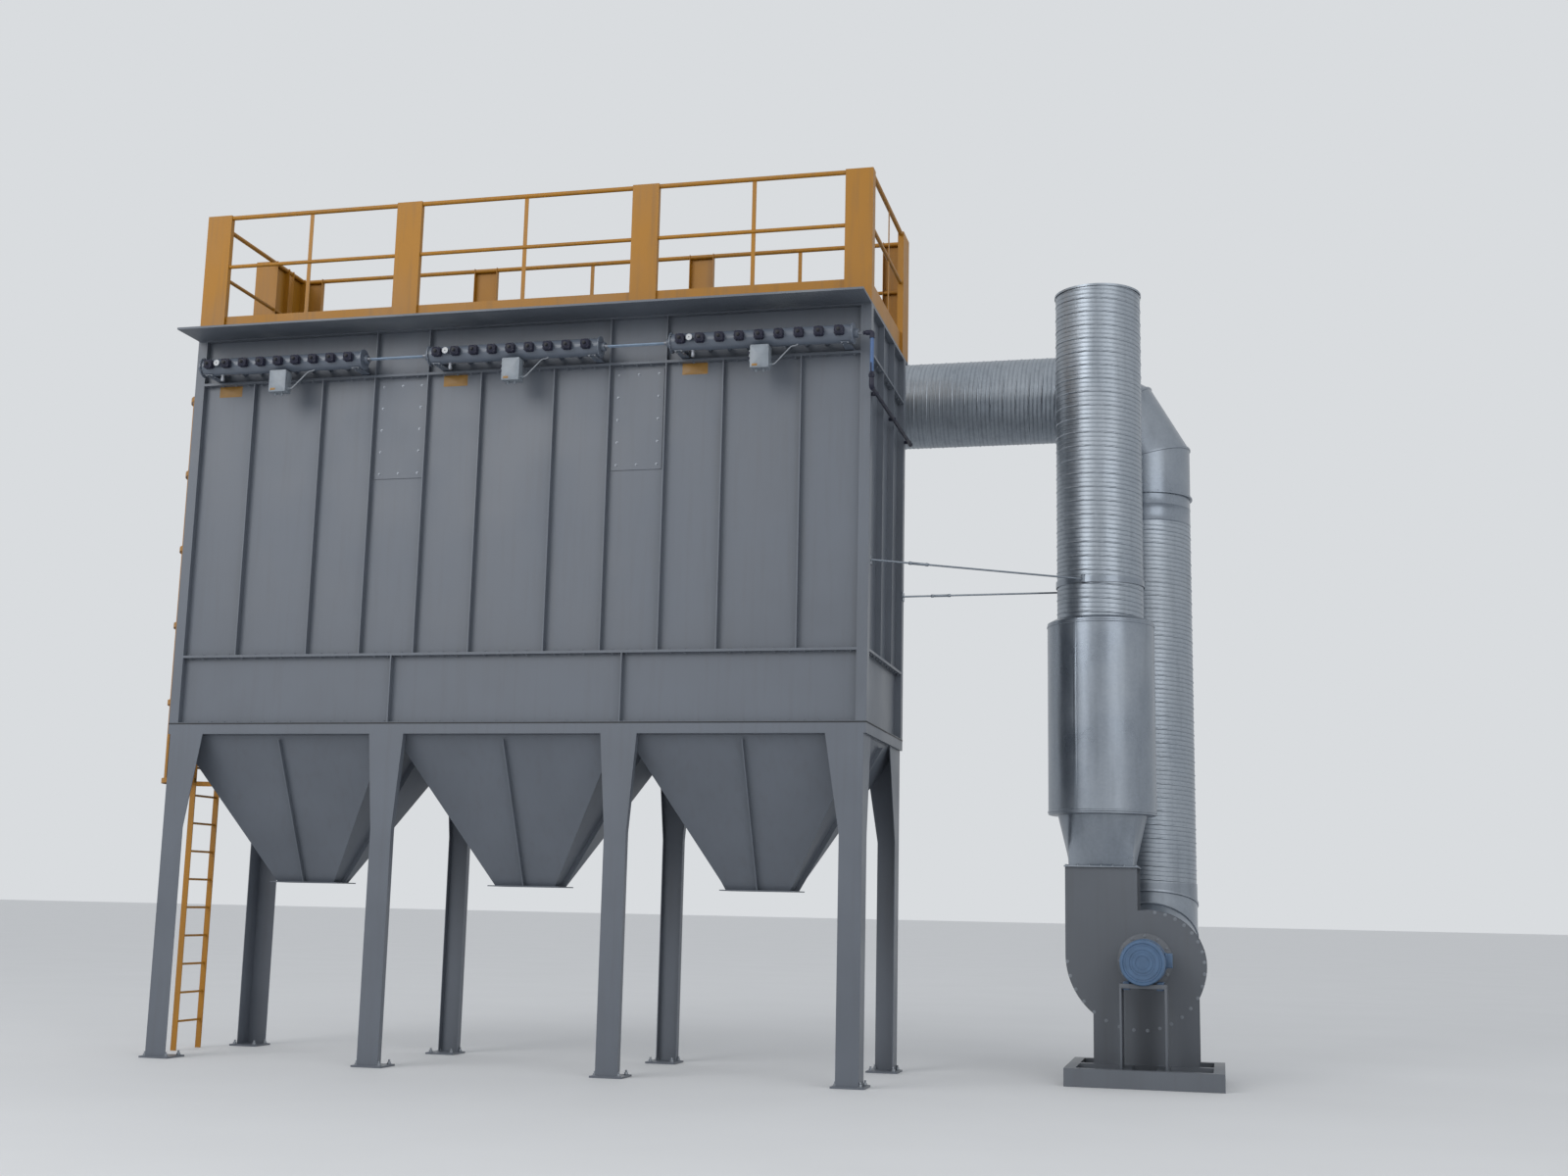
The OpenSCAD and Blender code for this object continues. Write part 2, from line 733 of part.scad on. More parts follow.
// The left run passes the ladder head as the closed bars of the gate. Behind it stand two plates,
// and a screen stands out beside the ladder
module guardrail_left() {
    rear_part = guard_back - guard_fold - ladder_y - gate_w / 2;
    w = min(guard_plate_w, rear_part / 2 - baluster_w);
    color(safety_yellow) translate([0, guard_back - guard_fold, z_walk]) rotate(-90) {
        guard_run(end_run, [[0, w], [rear_part - w, w], [end_run - guard_fold, guard_fold]], []);
        translate([rear_part - guard_t, -screen_w, 0]) cube([guard_t, screen_w + guard_fold, guard_h]);
    }
}

// Ladder: two side bars with rungs, and brackets to the casing
module ladder() {
    rungs = floor((z_walk - rung_pitch / 2) / rung_pitch);
    brackets = [[leg_h + frame_h / 2, 0], [z_mid, 0], [(z_mid + z_head) / 2, rib_d], [z_head, 0]];
    color(safety_yellow) {
        for (s = [-1, 1])
            translate([-ladder_off - stringer_w, ladder_y + s * ladder_w / 2 - stringer_t / 2, 0])
                cube([stringer_w, stringer_t, z_walk]);
        for (k = [1 : rungs])
            translate([-ladder_off - stringer_w / 2, ladder_y - ladder_w / 2, k * rung_pitch])
                rotate([-90, 0, 0]) cylinder(d = rung_d, h = ladder_w);
        for (s = [-1, 1]) for (b = brackets)
            translate([-ladder_off, ladder_y + s * ladder_w / 2 - stringer_t / 2, b[0] - flat_w / 2])
                cube([ladder_off + b[1], stringer_t, flat_w]);
    }
}

// Safety cage: open hoops with upright straps
module ladder_cage() {
    strap_angles = [for (k = [-2 : 2]) 180 + k * (180 - hoop_half + 50) / 3];
    color(safety_yellow) {
        for (k = [0 : hoops - 1]) translate([hoop_x, ladder_y, cage_z + k * hoop_pitch - flat_w / 2])
        {
            difference() {
                tube(2 * cage_r, flat_t, flat_w);
                translate([-(hoop_x + ladder_off), -cage_r, -1]) cube([2 * cage_r, 2 * cage_r, flat_w + 2]);
            }
            for (s = [0, 1]) mirror([0, s, 0])
                translate([-(hoop_x + ladder_off) - flat_t, ladder_w / 2 + stringer_t / 2, 0])
                    cube([flat_t, hoop_gap - stringer_t / 2, flat_w]);
        }
        for (a = strap_angles) translate([hoop_x, ladder_y, cage_z - flat_w / 2]) rotate(a)
            translate([cage_r - 2 * flat_t + weld, -flat_w / 2, 0])
                cube([flat_t, flat_w, (hoops - 1) * hoop_pitch + flat_w]);
    }
}

module inlet_spigots() {
    color(paint) at_inlets() {
        translate([0, 0, -rib_d]) tube(inlet_d, duct_t, inlet_l + rib_d);
        translate([0, 0, inlet_l - ring_t]) flat_ring(inlet_d, inlet_d + 2 * ring_w, ring_t);
    }
}

// Horizontal duct behind the casing, closed at its left end, with a branch from each unit
module outlet_manifold() {
    x0 = bay_w / 2 - branch_d;
    branch_l = duct_y - casing_d;
    color(galvanised) difference() {
        union() {
            translate([x0, duct_y, duct_cz]) rotate([0, 90, 0]) cylinder(d = duct_d, h = bend_cx - x0);
            at_outlets() translate([0, 0, -rib_d]) cylinder(d = branch_d, h = branch_l + rib_d);
            at_outlets() cylinder(d = branch_d + 2 * branch_ring_w, h = ring_t);
        }
        translate([x0 + duct_t, duct_y, duct_cz]) rotate([0, 90, 0])
            cylinder(d = duct_d - 2 * duct_t, h = bend_cx - x0);
        at_outlets() translate([0, 0, -rib_d - 1])
            cylinder(d = branch_d - 2 * duct_t, h = branch_l + rib_d);
    }
}

// The part of the local XY plane between two angles, as a thick wedge
module wedge(a0, a1, r) {
    linear_extrude(far, center = true)
        polygon([[0, 0], r * [cos(a0), sin(a0)], r * [cos(a1), sin(a1)]]);
}

// Four-piece bend round the local origin, from angle 0 to 90: each piece is a straight tube cut
// at its mitres and stands the width of the seam off its neighbours
module lobster_bend(r, d, t) {
    pieces = 4;
    step = 90 / (pieces - 1);
    for (k = [0 : pieces - 1]) intersection() {
        rotate(k * step) translate([r, r, 0]) rotate([90, 0, 0]) tube(d, t, 2 * r);
        wedge(max(0, (k - 0.5) * step) + seam, min(90, (k + 0.5) * step) - seam, 4 * r);
    }
}

module duct_bend() {
    color(galvanised) {
        translate([bend_cx, duct_y, bend_cz]) rotate([90, 0, 0]) lobster_bend(bend_r, duct_d, duct_t);
        translate([duct_cx, duct_y, bend_cz - collar_l]) difference() {
            union() {
                cylinder(d = duct_d, h = collar_l);
                cylinder(d = duct_d + ring_w, h = ring_t);
            }
            translate([0, 0, -1]) cylinder(d = duct_d - 2 * duct_t, h = collar_l + 2);
        }
    }
}

module drop_duct() {
    color(galvanised) translate([duct_cx, duct_y, drop_foot])
        tube(duct_d, duct_t, bend_cz - collar_l - drop_foot);
}

// Bend from the drop duct's foot forward into the fan, with a reducer
module inlet_bend() {
    end_y = duct_y - inlet_bend_r;
    color(galvanised) {
        translate([duct_cx, end_y, drop_foot]) rotate([-90, 0, 90])
            lobster_bend(inlet_bend_r, duct_d, duct_t);
        translate([duct_cx, fan_back, shaft_z]) rotate([-90, 0, 0]) rotate_extrude() polygon([
            [fan_inlet_d / 2 - duct_t, 0], [fan_inlet_d / 2, 0],
            [duct_d / 2, end_y - fan_back], [duct_d / 2 - duct_t, end_y - fan_back]
        ]);
    }
}

// Side view of the fan scroll round its shaft: three quarter circles of growing radius
module scroll_solid(w, grow) {
    s = scroll_step / 2;
    quarters = [[s, -s, 0], [-s, -s, 1], [-s, s, 2]];
    top = fan_outlet_z - shaft_z;
    translate([0, w / 2, 0]) rotate([90, 0, 0]) {
        for (q = quarters) intersection() {
            translate([q[0], q[1], 0]) cylinder(r = scroll_r + q[2] * scroll_step + grow, h = w);
            translate([q[0], q[1], 0]) rotate(-90 * q[2]) cube([far, far, w]);
        }
        translate([-s, -s, 0]) cube([2 * s, 2 * s, w]);
        translate([-scroll_left - grow, s, 0]) cube([fan_out_w + 2 * grow, top - s, w]);
        translate([-s, s, 0]) cube([2 * s, scroll_r - 2 * s + grow, w]);
        translate([-scroll_left, s, 0]) cube([scroll_left, scroll_r - 2 * s + grow, w]);
    }
}

// Fan casing: scroll between two side plates, with the flanged outlet
module fan_casing() {
    color(paint) translate([duct_cx, stack_y, shaft_z]) {
        scroll_solid(fan_w, 0);
        for (s = [-1, 1]) translate([0, s * (fan_w + fan_plate) / 2, 0]) {
            scroll_solid(fan_plate, fan_rim);
            translate([-scroll_r, -fan_plate / 2, fan_base_h - shaft_z])
                cube([2 * scroll_r, fan_plate, shaft_z - fan_base_h]);
        }
    }
}

// Motor on a welded stool, with the shaft guard in line with the fan
module fan_motor() {
    end_y = fan_front - motor_l;
    stool_w = motor_d;
    stool_l = motor_l - guard_l - 2 * stool_in;
    stool_t = 20;
    stool_h = shaft_z - motor_d / 2 - fan_base_h;
    color(paint) translate([duct_cx, end_y, shaft_z]) {
        rotate([-90, 0, 0]) cylinder(d = motor_d, h = motor_l - guard_l);
        rotate([-90, 0, 0]) cylinder(d = motor_d / 2, h = motor_l);
        translate([-stool_w / 2, stool_in, -motor_d / 2 - stool_t]) cube([stool_w, stool_l, stool_t * 2]);
        for (x = [-stool_w / 2, stool_w / 2 - stool_t]) translate([x, stool_in, fan_base_h - shaft_z])
            cube([stool_t, stool_l, stool_h]);
    }
}

// Base frame of the fan: beams under both side plates and under the motor stool
module fan_base() {
    x0 = duct_cx - scroll_left;
    x1 = duct_cx + scroll_left;
    y0 = fan_front - motor_l - ring_w;
    y1 = fan_back + frame_w / 2;
    color(paint) {
        for (x = [x0, duct_cx - motor_d / 2, duct_cx + motor_d / 2 - frame_w, x1 - frame_w])
            translate([x, y0, 0]) cube([frame_w, y1 - y0, fan_base_h]);
        for (y = [y0, fan_front - frame_w / 2, y1 - frame_w])
            translate([x0, y, 0]) cube([x1 - x0, frame_w, fan_base_h]);
    }
}

// Solid from the fan's rectangular outlet up to the stack's circle, made smaller across by g
module square_to_round(g, z0, z1) {
    skirt = 1;
    hull() {
        translate([(g - fan_out_w) / 2, (g - fan_w) / 2, z0]) cube([fan_out_w - g, fan_w - g, skirt]);
        translate([0, 0, z1 - skirt]) cylinder(d = stack_d - g, h = skirt, $fn = 48);
    }
}

// Silencer: a wide drum with end rings, on a hollow square-to-round piece from the fan
module silencer() {
    color(galvanised) {
        translate([stack_cx, stack_y, sil_bottom]) tube(silencer_d, 2 * duct_t, silencer_l);
        for (z = [sil_bottom, sil_top - ring_t]) translate([stack_cx, stack_y, z])
            flat_ring(stack_d - 2 * duct_t, silencer_d - duct_t, ring_t);
        translate([stack_cx, stack_y, 0]) difference() {
            square_to_round(0, fan_outlet_z, sil_bottom);
            square_to_round(4 * duct_t, fan_outlet_z - weld, sil_bottom + weld);
        }
    }
}

module stack() {
    color(galvanised) translate([stack_cx, stack_y, sil_top]) {
        tube(stack_d, duct_t, mouth_z - sil_top);
        translate([0, 0, mouth_z - sil_top - ring_t]) flat_ring(stack_d, stack_d + 2 * duct_t, ring_t);
    }
}

// Clamp ring round the stack, with a lug facing each of the two rods back to the casing
module stack_stays() {
    ring_r = stack_d / 2 + seat + flat_t;
    lug_w = 2 * stay_d;
    lug_l = 40;
    lug_out = 10;
    starts = [
        [casing_w - rib_d, stay_y, clamp_cz],
        [casing_w, casing_d - corner_w / 2, clamp_cz - stay_drop]
    ];
    angles = [-110, 130];
    lug_r = ring_r + lug_out;
    function tip(a) = [stack_cx + lug_r * cos(a), stack_y + lug_r * sin(a), clamp_cz];
    color(galvanised) {
        translate([stack_cx, stack_y, clamp_cz - clamp_h / 2]) linear_extrude(clamp_h) difference() {
            union() {
                circle(r = ring_r);
                for (k = [0, 1]) {
                    v = tip(angles[k]) - starts[k];
                    translate(lug_r * [cos(angles[k]), sin(angles[k])]) rotate(atan2(v[1], v[0]))
                        translate([0, -lug_w / 2]) square([lug_l, lug_w]);
                }
            }
            circle(d = stack_d + 2 * seat);
        }
        for (k = [0, 1]) {
            v = tip(angles[k]) - starts[k];
            gap = seat + stay_d / 2 * abs(v[2]) / norm(v);
            rod(starts[k], tip(angles[k]) - gap * v / norm(v), stay_d);
        }
    }
}

base_frame();
for (i = [1 : units + 1]) front_leg(i - 1, leg_top_w);
for (i = [1 : units + 1]) rear_leg(i - 1);
for (i = [1 : units]) hopper(i);
lower_casing();
wall_front();
wall_rear();
wall_left();
wall_right();
access_covers();
head_casing();
roof_deck();
for (i = [1 : units]) air_header(i);
for (i = [1 : units]) pulse_valves(i);
for (i = [1 : units]) pilot_box(i);
air_line();
guardrail_front();
guardrail_rear();
guardrail_left();
guardrail_right();
ladder();
ladder_cage();
inlet_spigots();
outlet_manifold();
duct_bend();
drop_duct();
inlet_bend();
fan_casing();
fan_motor();
fan_base();
silencer();
stack();
stack_stays();
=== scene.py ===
"""Looks for a three-unit bag filter: spiral ducts, valves, pipes, bolts, finishes, light and camera."""

import json
import math

import bpy
import numpy as np
from bpy.props import FloatProperty, FloatVectorProperty, PointerProperty
from mathutils import Matrix, Vector


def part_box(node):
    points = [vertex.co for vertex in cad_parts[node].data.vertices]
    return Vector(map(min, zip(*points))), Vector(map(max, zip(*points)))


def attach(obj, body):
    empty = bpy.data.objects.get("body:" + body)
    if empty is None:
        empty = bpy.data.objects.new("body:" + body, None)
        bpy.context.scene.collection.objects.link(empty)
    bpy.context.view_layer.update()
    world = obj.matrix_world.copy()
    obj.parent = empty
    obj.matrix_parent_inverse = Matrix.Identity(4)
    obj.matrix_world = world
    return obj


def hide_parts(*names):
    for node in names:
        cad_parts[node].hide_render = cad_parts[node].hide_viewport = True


bl_info = {
    "name": "Bag Filter Looks",
    "version": (1, 0, 0),
    "blender": (4, 5, 0),
    "location": "View3D > Sidebar > Bag Filter",
    "description": "Dresses a packed bag filter with ducts, valves, fasteners and finishes",
    "category": "Object",
}

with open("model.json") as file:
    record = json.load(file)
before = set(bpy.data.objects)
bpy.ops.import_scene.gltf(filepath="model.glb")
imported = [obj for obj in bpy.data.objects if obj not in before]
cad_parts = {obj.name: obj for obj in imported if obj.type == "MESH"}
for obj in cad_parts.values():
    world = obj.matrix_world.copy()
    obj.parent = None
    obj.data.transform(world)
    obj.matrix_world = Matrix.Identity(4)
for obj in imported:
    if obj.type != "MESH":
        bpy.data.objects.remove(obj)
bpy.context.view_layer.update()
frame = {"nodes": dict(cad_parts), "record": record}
TAU = 2 * math.pi
X, Y, Z = np.eye(3)
SIDE_U, SIDE_V = np.array([(-1, -1), (-1, 1), (1, -1), (1, 1)]).T  # signs of a rectangle's four corners


def corners(node):
    """Lowest and highest corner of a CAD node as two arrays, in metres."""
    low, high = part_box(node)
    return np.array(low), np.array(high)


def upright(node):
    """The middle of an upright round node's foot, its height and its radius."""
    low, high = corners(node)
    return np.array([*(low + high)[:2] / 2, low[2]]), high[2] - low[2], (high[0] - low[0]) / 2


UNITS = sum(name.startswith("air_header_") for name in frame["nodes"])
NUMBERS = range(1, UNITS + 1)
WALL_LOW, WALL_HIGH = corners("wall_front")
BRANCH_Z = sum(corners("head_casing"))[2] / 2
CASING_W = WALL_HIGH[0]
CASING_D = corners("wall_rear")[1][1]
BAY_W = CASING_W / UNITS
RIB_D = 0.060
PANEL_WIDTHS = [0.560, 0.750, 0.560, 0.560] * UNITS
LONG_RIBS = 0.100 + np.cumsum([0] + PANEL_WIDTHS[:-1])


# ---- Colour and materials ----


def linear(hex_colour):
    """An sRGB hex colour as three linear numbers."""
    s = np.array([int(hex_colour[i : i + 2], 16) for i in (1, 3, 5)]) / 255
    return tuple(float(c) for c in np.where(s <= 0.04045, s / 12.92, ((s + 0.055) / 1.055) ** 2.4))


def rgba(colour, factor=1.0):
    """A linear colour with full alpha, made lighter or darker by a factor."""
    return tuple(min(1.0, c * factor) for c in colour) + (1.0,)


def add(tree, kind, inputs=(), output=0, **settings):
    """Adds one shader node with its settings, fills its inputs with values or links, and returns one output."""
    node = tree.nodes.new("ShaderNode" + kind)
    for name, value in settings.items():
        setattr(node, name, value)
    for socket, value in inputs.items() if isinstance(inputs, dict) else enumerate(inputs):
        if isinstance(value, bpy.types.NodeSocket):
            tree.links.new(value, node.inputs[socket])
        else:
            node.inputs[socket].default_value = value
    return node.outputs[output] if len(node.outputs) else None


NOISE_SPAN = (0.35, 0.65)  # where nearly all of a noise lies


def start_material(name):
    """An empty material: its node tree and its Object coordinates."""
    material = bpy.data.materials.new(name)
    material.use_nodes = True
    tree = material.node_tree
    tree.nodes.clear()
    return tree, add(tree, "TexCoord", output="Object")


def weathered(tree, tone, *layers):
    """Lays colours over a tone: each layer is a pattern, the span it runs from and to, and its colour."""
    for pattern, *spans, colour in layers:
        amount = add(tree, "MapRange", (pattern, *spans))
        tone = add(tree, "Mix", {0: amount, 6: tone, 7: colour}, 2, data_type="RGBA")
    return tone


def painted_steel(name, colour, rough=0.42, streaks=0.10, cloud=0.06):
    """Sprayed polyester paint on folded sheet: soft tone changes, rain streaks and a faint orange peel."""
    tree, place = start_material(name)
    # Tone drifts over about a metre, because sheets weather apart
    drift = add(tree, "TexNoise", {"Vector": place, "Scale": 1.1, "Detail": 3.0})
    # Rain runs leave darker streaks some 30 mm wide and half a metre long
    tall = add(tree, "Mapping", {"Vector": place, "Scale": (1.0, 1.0, 0.06)})
    runs = add(tree, "TexNoise", {"Vector": tall, "Scale": 16.0, "Detail": 4.0})
    # Orange peel of a few millimetres, drawn at 9 mm so that it shows
    peel = add(tree, "TexNoise", {"Vector": place, "Scale": 110.0, "Detail": 2.0})
    waves = add(tree, "TexNoise", {"Vector": place, "Scale": 3.0, "Detail": 1.0})
    height = add(tree, "Math", (waves, 14.0, peel), operation="MULTIPLY_ADD")
    shader = add(tree, "BsdfPrincipled", {
        "Base Color": weathered(
            tree, rgba(colour, 1 - cloud), (drift, *NOISE_SPAN, 0, 1, rgba(colour, 1 + cloud)),
            (runs, 0.50, 0.72, 0, streaks, rgba(linear("#4a463f"))),
        ),
        "Roughness": add(tree, "MapRange", (drift, *NOISE_SPAN, rough - 0.05, rough + 0.08)),
        "Normal": add(tree, "Bump", {"Height": height, "Strength": 0.25, "Distance": 0.0006}),
    })
    add(tree, "OutputMaterial", [shader])


def galvanised_steel(name, colour, rough=0.36, ribbed=False):
    """Hot-dip galvanised sheet: zinc with spangles of about 20 mm, milky patches and rain streaks; on spiral duct
    the rib valleys get painted shade.
    """
    tree, place = start_material(name)
    # Each zinc crystal reflects a little differently
    spangle = add(tree, "TexVoronoi", {"Vector": place, "Scale": 45.0}, "Color")
    grain = add(tree, "SeparateColor", [spangle])
    tone = add(tree, "Mix", {0: grain, 6: rgba(colour, 0.95), 7: rgba(colour, 1.05)}, 2, data_type="RGBA")
    # White oxide makes dull patches some 600 mm across, and rain leaves grey streaks some 60 mm wide
    milk = add(tree, "TexNoise", {"Vector": place, "Scale": 1.6, "Detail": 3.0})
    tall = add(tree, "Mapping", {"Vector": place, "Scale": (1.0, 1.0, 0.08)})
    runs = add(tree, "TexNoise", {"Vector": tall, "Scale": 12.0, "Detail": 3.0})
    layers = [(milk, *NOISE_SPAN, 0, 0.25, rgba(linear("#b3b9bf"))),
              (runs, 0.5, 0.75, 0, 0.25, rgba(linear("#62686e")))]
    if ribbed:
        # Painted shade: the valleys between the rolled ribs are drawn darker so that the small ribs show from
        # afar, and the crests keep the zinc's own tone
        rib = add(tree, "Attribute", output="Fac", attribute_name="rib")
        layers.append((rib, 0.0, 0.6, 0.75, 0.0, rgba(linear("#454c54"))))
    shader = add(tree, "BsdfPrincipled", {
        "Base Color": weathered(tree, tone, *layers),
        "Roughness": add(tree, "MapRange", (milk, *NOISE_SPAN, rough - 0.05, rough + 0.07)),
        "Metallic": 0.85,
    })
    add(tree, "OutputMaterial", [shader])


def moulded(name, colour, rough, metallic=0.0, grain=350.0):
    """A cast or moulded surface with a fine even grain."""
    tree, place = start_material(name)
    fine = add(tree, "TexNoise", {"Vector": place, "Scale": grain, "Detail": 2.0})
    soft = add(tree, "TexNoise", {"Vector": place, "Scale": 12.0, "Detail": 2.0})
    shader = add(tree, "BsdfPrincipled", {
        "Base Color": weathered(tree, rgba(colour, 0.9), (soft, *NOISE_SPAN, 0, 1, rgba(colour, 1.08))),
        "Roughness": add(tree, "MapRange", (soft, *NOISE_SPAN, rough - 0.05, rough + 0.07)),
        "Normal": add(tree, "Bump", {"Height": fine, "Strength": 0.2, "Distance": 0.0004}),
        "Metallic": metallic,
    })
    add(tree, "OutputMaterial", [shader])


def chequer_plate(name, colour, pitch=0.030):
    """Painted tread plate: raised lozenges on a 30 mm pitch, worn paler where feet fall."""
    tree, place = start_material(name)
    turned = add(tree, "Mapping", {"Vector": place, "Rotation": (0, 0, math.pi / 4)})
    sides = add(tree, "SeparateXYZ", [turned]).node.outputs
    waves = [
        add(tree, "Math", [add(tree, "Math", (sides[k], TAU / pitch), operation="MULTIPLY")], operation="SINE")
        for k in (0, 1)
    ]
    lozenge = add(tree, "Math", waves, operation="MULTIPLY")
    wear = add(tree, "TexNoise", {"Vector": place, "Scale": 0.9, "Detail": 5.0})
    shader = add(tree, "BsdfPrincipled", {
        "Base Color": weathered(tree, rgba(colour), (wear, 0.5, 0.7, 0, 0.6, rgba(linear("#8b8f92")))),
        "Roughness": 0.5,
        "Normal": add(tree, "Bump", {"Height": lozenge, "Strength": 0.6, "Distance": 0.0015}),
    })
    add(tree, "OutputMaterial", [shader])


# Each finish: the record's slot, its maker, its colour as a setting or a hex value, and its other numbers. The
# first finish of a slot also dresses the CAD nodes of that slot.
FINISHES = {
    # Sprayed paints: a soft satin sheen, with the tanks glossier and the rails duller and more streaked
    "polyester_painted_steel": ("casing_paint", painted_steel, "casing", {}),
    "gloss_painted_rail": ("safety_yellow_paint", painted_steel, "guard",
        {"rough": 0.50, "streaks": 0.22, "cloud": 0.08}),
    "painted_header_tank": ("header_paint", painted_steel, "header",
        {"rough": 0.28, "streaks": 0.06, "cloud": 0.04}),
    "painted_fan_steel": ("fan_paint", painted_steel, "fan", {"rough": 0.45, "streaks": 0.12}),
    "painted_tread_plate": ("casing_paint", chequer_plate, "casing", {}),
    # Zinc: bright with soft mirror bands, broken up by spangles and dull patches
    "galvanised_plain_sheet": ("galvanised_sheet", galvanised_steel, "sheet", {"rough": 0.30}),
    # The spiral sheet's rib valleys are painted darker as shade
    "galvanised_spiral_sheet": ("galvanised_sheet", galvanised_steel, "zinc", {"ribbed": True}),
    "zinc_plated_bolt": ("galvanised_sheet", galvanised_steel, "#7b8087", {"rough": 0.42}),
    # Castings and mouldings: one broad highlight over a fine grain
    "cast_iron_enamel": ("motor_paint", moulded, "motor", {"rough": 0.40, "grain": 160.0}),
    "black_cast_aluminium": ("valve_black", moulded, "valve", {"rough": 0.55}),
    "black_nylon": ("valve_black", moulded, "#12131c", {"rough": 0.55}),
    "blue_coated_pipe": ("valve_black", moulded, "hose", {"rough": 0.36}),
    "pale_polycarbonate": ("box_paint", moulded, "box", {"rough": 0.32}),
    "white_dial": ("box_paint", moulded, "#b6b9bb", {"rough": 0.30}),
    "grey_pvc_conduit": ("box_paint", moulded, "#8a8f95", {"rough": 0.45}),
    "bare_die_casting": ("header_paint", moulded, "#8c9097", {"rough": 0.40, "metallic": 0.6}),
    "pale_link_pipe": ("header_paint", moulded, "link", {"rough": 0.36}),
    # A dark strip that stands in for the shadow gap under the casing's foot: painted shade
    "butyl_seal": ("casing_paint", moulded, "#24262a", {"rough": 0.60}),
    "amber_vinyl": ("safety_yellow_paint", moulded, "label", {"rough": 0.45}),
}


# ---- Surfaces ----


def grid(rows, columns, closed_rows=False):
    """Faces of a grid of points: each row runs round and joins itself, and the rows join too if closed."""
    i = np.arange(rows if closed_rows else rows - 1)[:, None]
    j = np.arange(columns)[None, :]
    up, on = (i + 1) % rows, (j + 1) % columns
    quads = np.stack([i * columns + j, i * columns + on, up * columns + on, up * columns + j], -1)
    return quads.reshape(-1, 4)


def around(columns):
    """Angles of a full turn in even steps."""
    return np.arange(columns) * TAU / columns


def revolved(profile, columns=32):
    """Each level (radius, height) turns round Z: (r cos a, r sin a, h), where r is one number or one for each
    angle. Levels of zero radius close the poles, and otherwise the last level joins the first."""
    a = around(columns)
    r, h = (np.stack([np.broadcast_to(level[k], columns) for level in profile]) for k in (0, 1))
    points = np.stack([r * np.cos(a), r * np.sin(a), h], -1)
    return points.reshape(-1, 3), grid(len(r), columns, bool(r[0].any() or r[-1].any()))


def turned(columns, *levels):
    """A turned part from its levels (radius, height) in millimetres, closed on its axis at both ends."""
    closed = (0, levels[0][1]), *levels, (0, levels[-1][1])
    return revolved([(np.divide(r, 1000), h / 1000) for r, h in closed], columns)


def axes_along(direction, hint=None):
    """Three unit vectors as rows, the last along the direction."""
    z = np.array(direction, float) / np.linalg.norm(direction)
    if hint is None:
        hint = X if abs(z[0]) < 0.9 else Y
    x = np.array(hint, float) - z * np.dot(hint, z)
    x /= np.linalg.norm(x)
    return np.stack([x, np.cross(z, x), z])


def placed(shape, places, direction=Z, hint=None):
    """A shape laid at one place or at many, as one set of points and faces, with its Z axis along a direction."""
    points, faces = shape
    places = np.array(places, float).reshape(-1, 1, 3)
    shift = np.arange(len(places))[:, None, None] * len(points)
    return (points @ axes_along(direction, hint) + places).reshape(-1, 3), (faces + shift).reshape(-1, 4)


def points_at(*sides):
    """Points from their X, Y and Z, each one number or one for each point."""
    return np.stack(np.broadcast_arrays(*sides), -1).reshape(-1, 3).astype(float)


def joined(*shapes):
    """Several shapes as one set of points and faces."""
    counts = np.cumsum([0] + [len(p) for p, _ in shapes[:-1]])
    return (
        np.concatenate([p for p, _ in shapes]),
        np.concatenate([f + n for (_, f), n in zip(shapes, counts)]),
    )


CORNER_STEPS = 4  # points on each rounded corner of an outline


def rounded_outline(size, fillet):
    """Outline of a rectangle with round corners, counter-clockwise: corner centre plus fillet times (cos, sin)."""
    half = np.array(size, float) / 2 - fillet
    turn = np.array([[1, 1], [-1, 1], [-1, -1], [1, -1]])
    a = (np.arange(4)[:, None] + np.linspace(0, 1, CORNER_STEPS)[None]) * math.pi / 2
    ring = np.stack([np.cos(a), np.sin(a)], -1) * fillet + (turn * half)[:, None]
    return ring.reshape(-1, 2)


def rounded_block(size, fillet=0.01, edge=0.004):
    """A block on Z = 0: its round-cornered outline shrinks along both rims, and closes on its middle line."""
    w, d, h = size
    rim = [(edge, 0), (edge * 0.3, edge * 0.3), (0, edge)]
    levels = rim + [(inset, h - z) for inset, z in rim[::-1]]
    rings = [rounded_outline((w - 2 * i, d - 2 * i), max(fillet - i, fillet * 0.3)) for i, _ in levels]
    closed = 0 * rings[0]
    return stacked([closed, *rings, closed], [0, *(z for _, z in levels), h])


def stacked(rings, heights, closed=False):
    """Flat rings of points laid one over another, each at its height."""
    rows = [np.column_stack([ring, np.full(len(ring), z)]) for ring, z in zip(rings, heights)]
    return np.concatenate(rows), grid(len(rows), len(rings[0]), closed)


def rounded_frame(outer, inner, height):
    """A flat rectangular ring: outer and inner round-cornered outlines joined over and under."""
    inside, outside = rounded_outline(inner, 0.006), rounded_outline(outer, 0.006)
    return stacked([inside, outside, outside, inside], [0, 0, height, height], True)


def bent_path(points, radius):
    """A polyline whose corners are rounded by arcs: each arc is sampled between its two tangent points."""
    steps = 8
    points = np.array(points, float)
    path = [points[:1]]
    for before, corner, after in zip(points, points[1:], points[2:]):
        u = (before - corner) / np.linalg.norm(before - corner)
        v = (after - corner) / np.linalg.norm(after - corner)
        half = math.acos(float(np.clip(u @ v, -1, 1))) / 2
        reach = radius / math.tan(half)
        centre = corner + (u + v) / np.linalg.norm(u + v) * radius / math.sin(half)
        a, b = corner + u * reach - centre, corner + v * reach - centre
        sweep = math.pi - 2 * half
        t = np.linspace(0, 1, steps)[:, None]
        path.append(centre + (np.sin((1 - t) * sweep) * a + np.sin(t * sweep) * b) / math.sin(sweep))
    path.append(points[-1:])
    return np.concatenate(path)


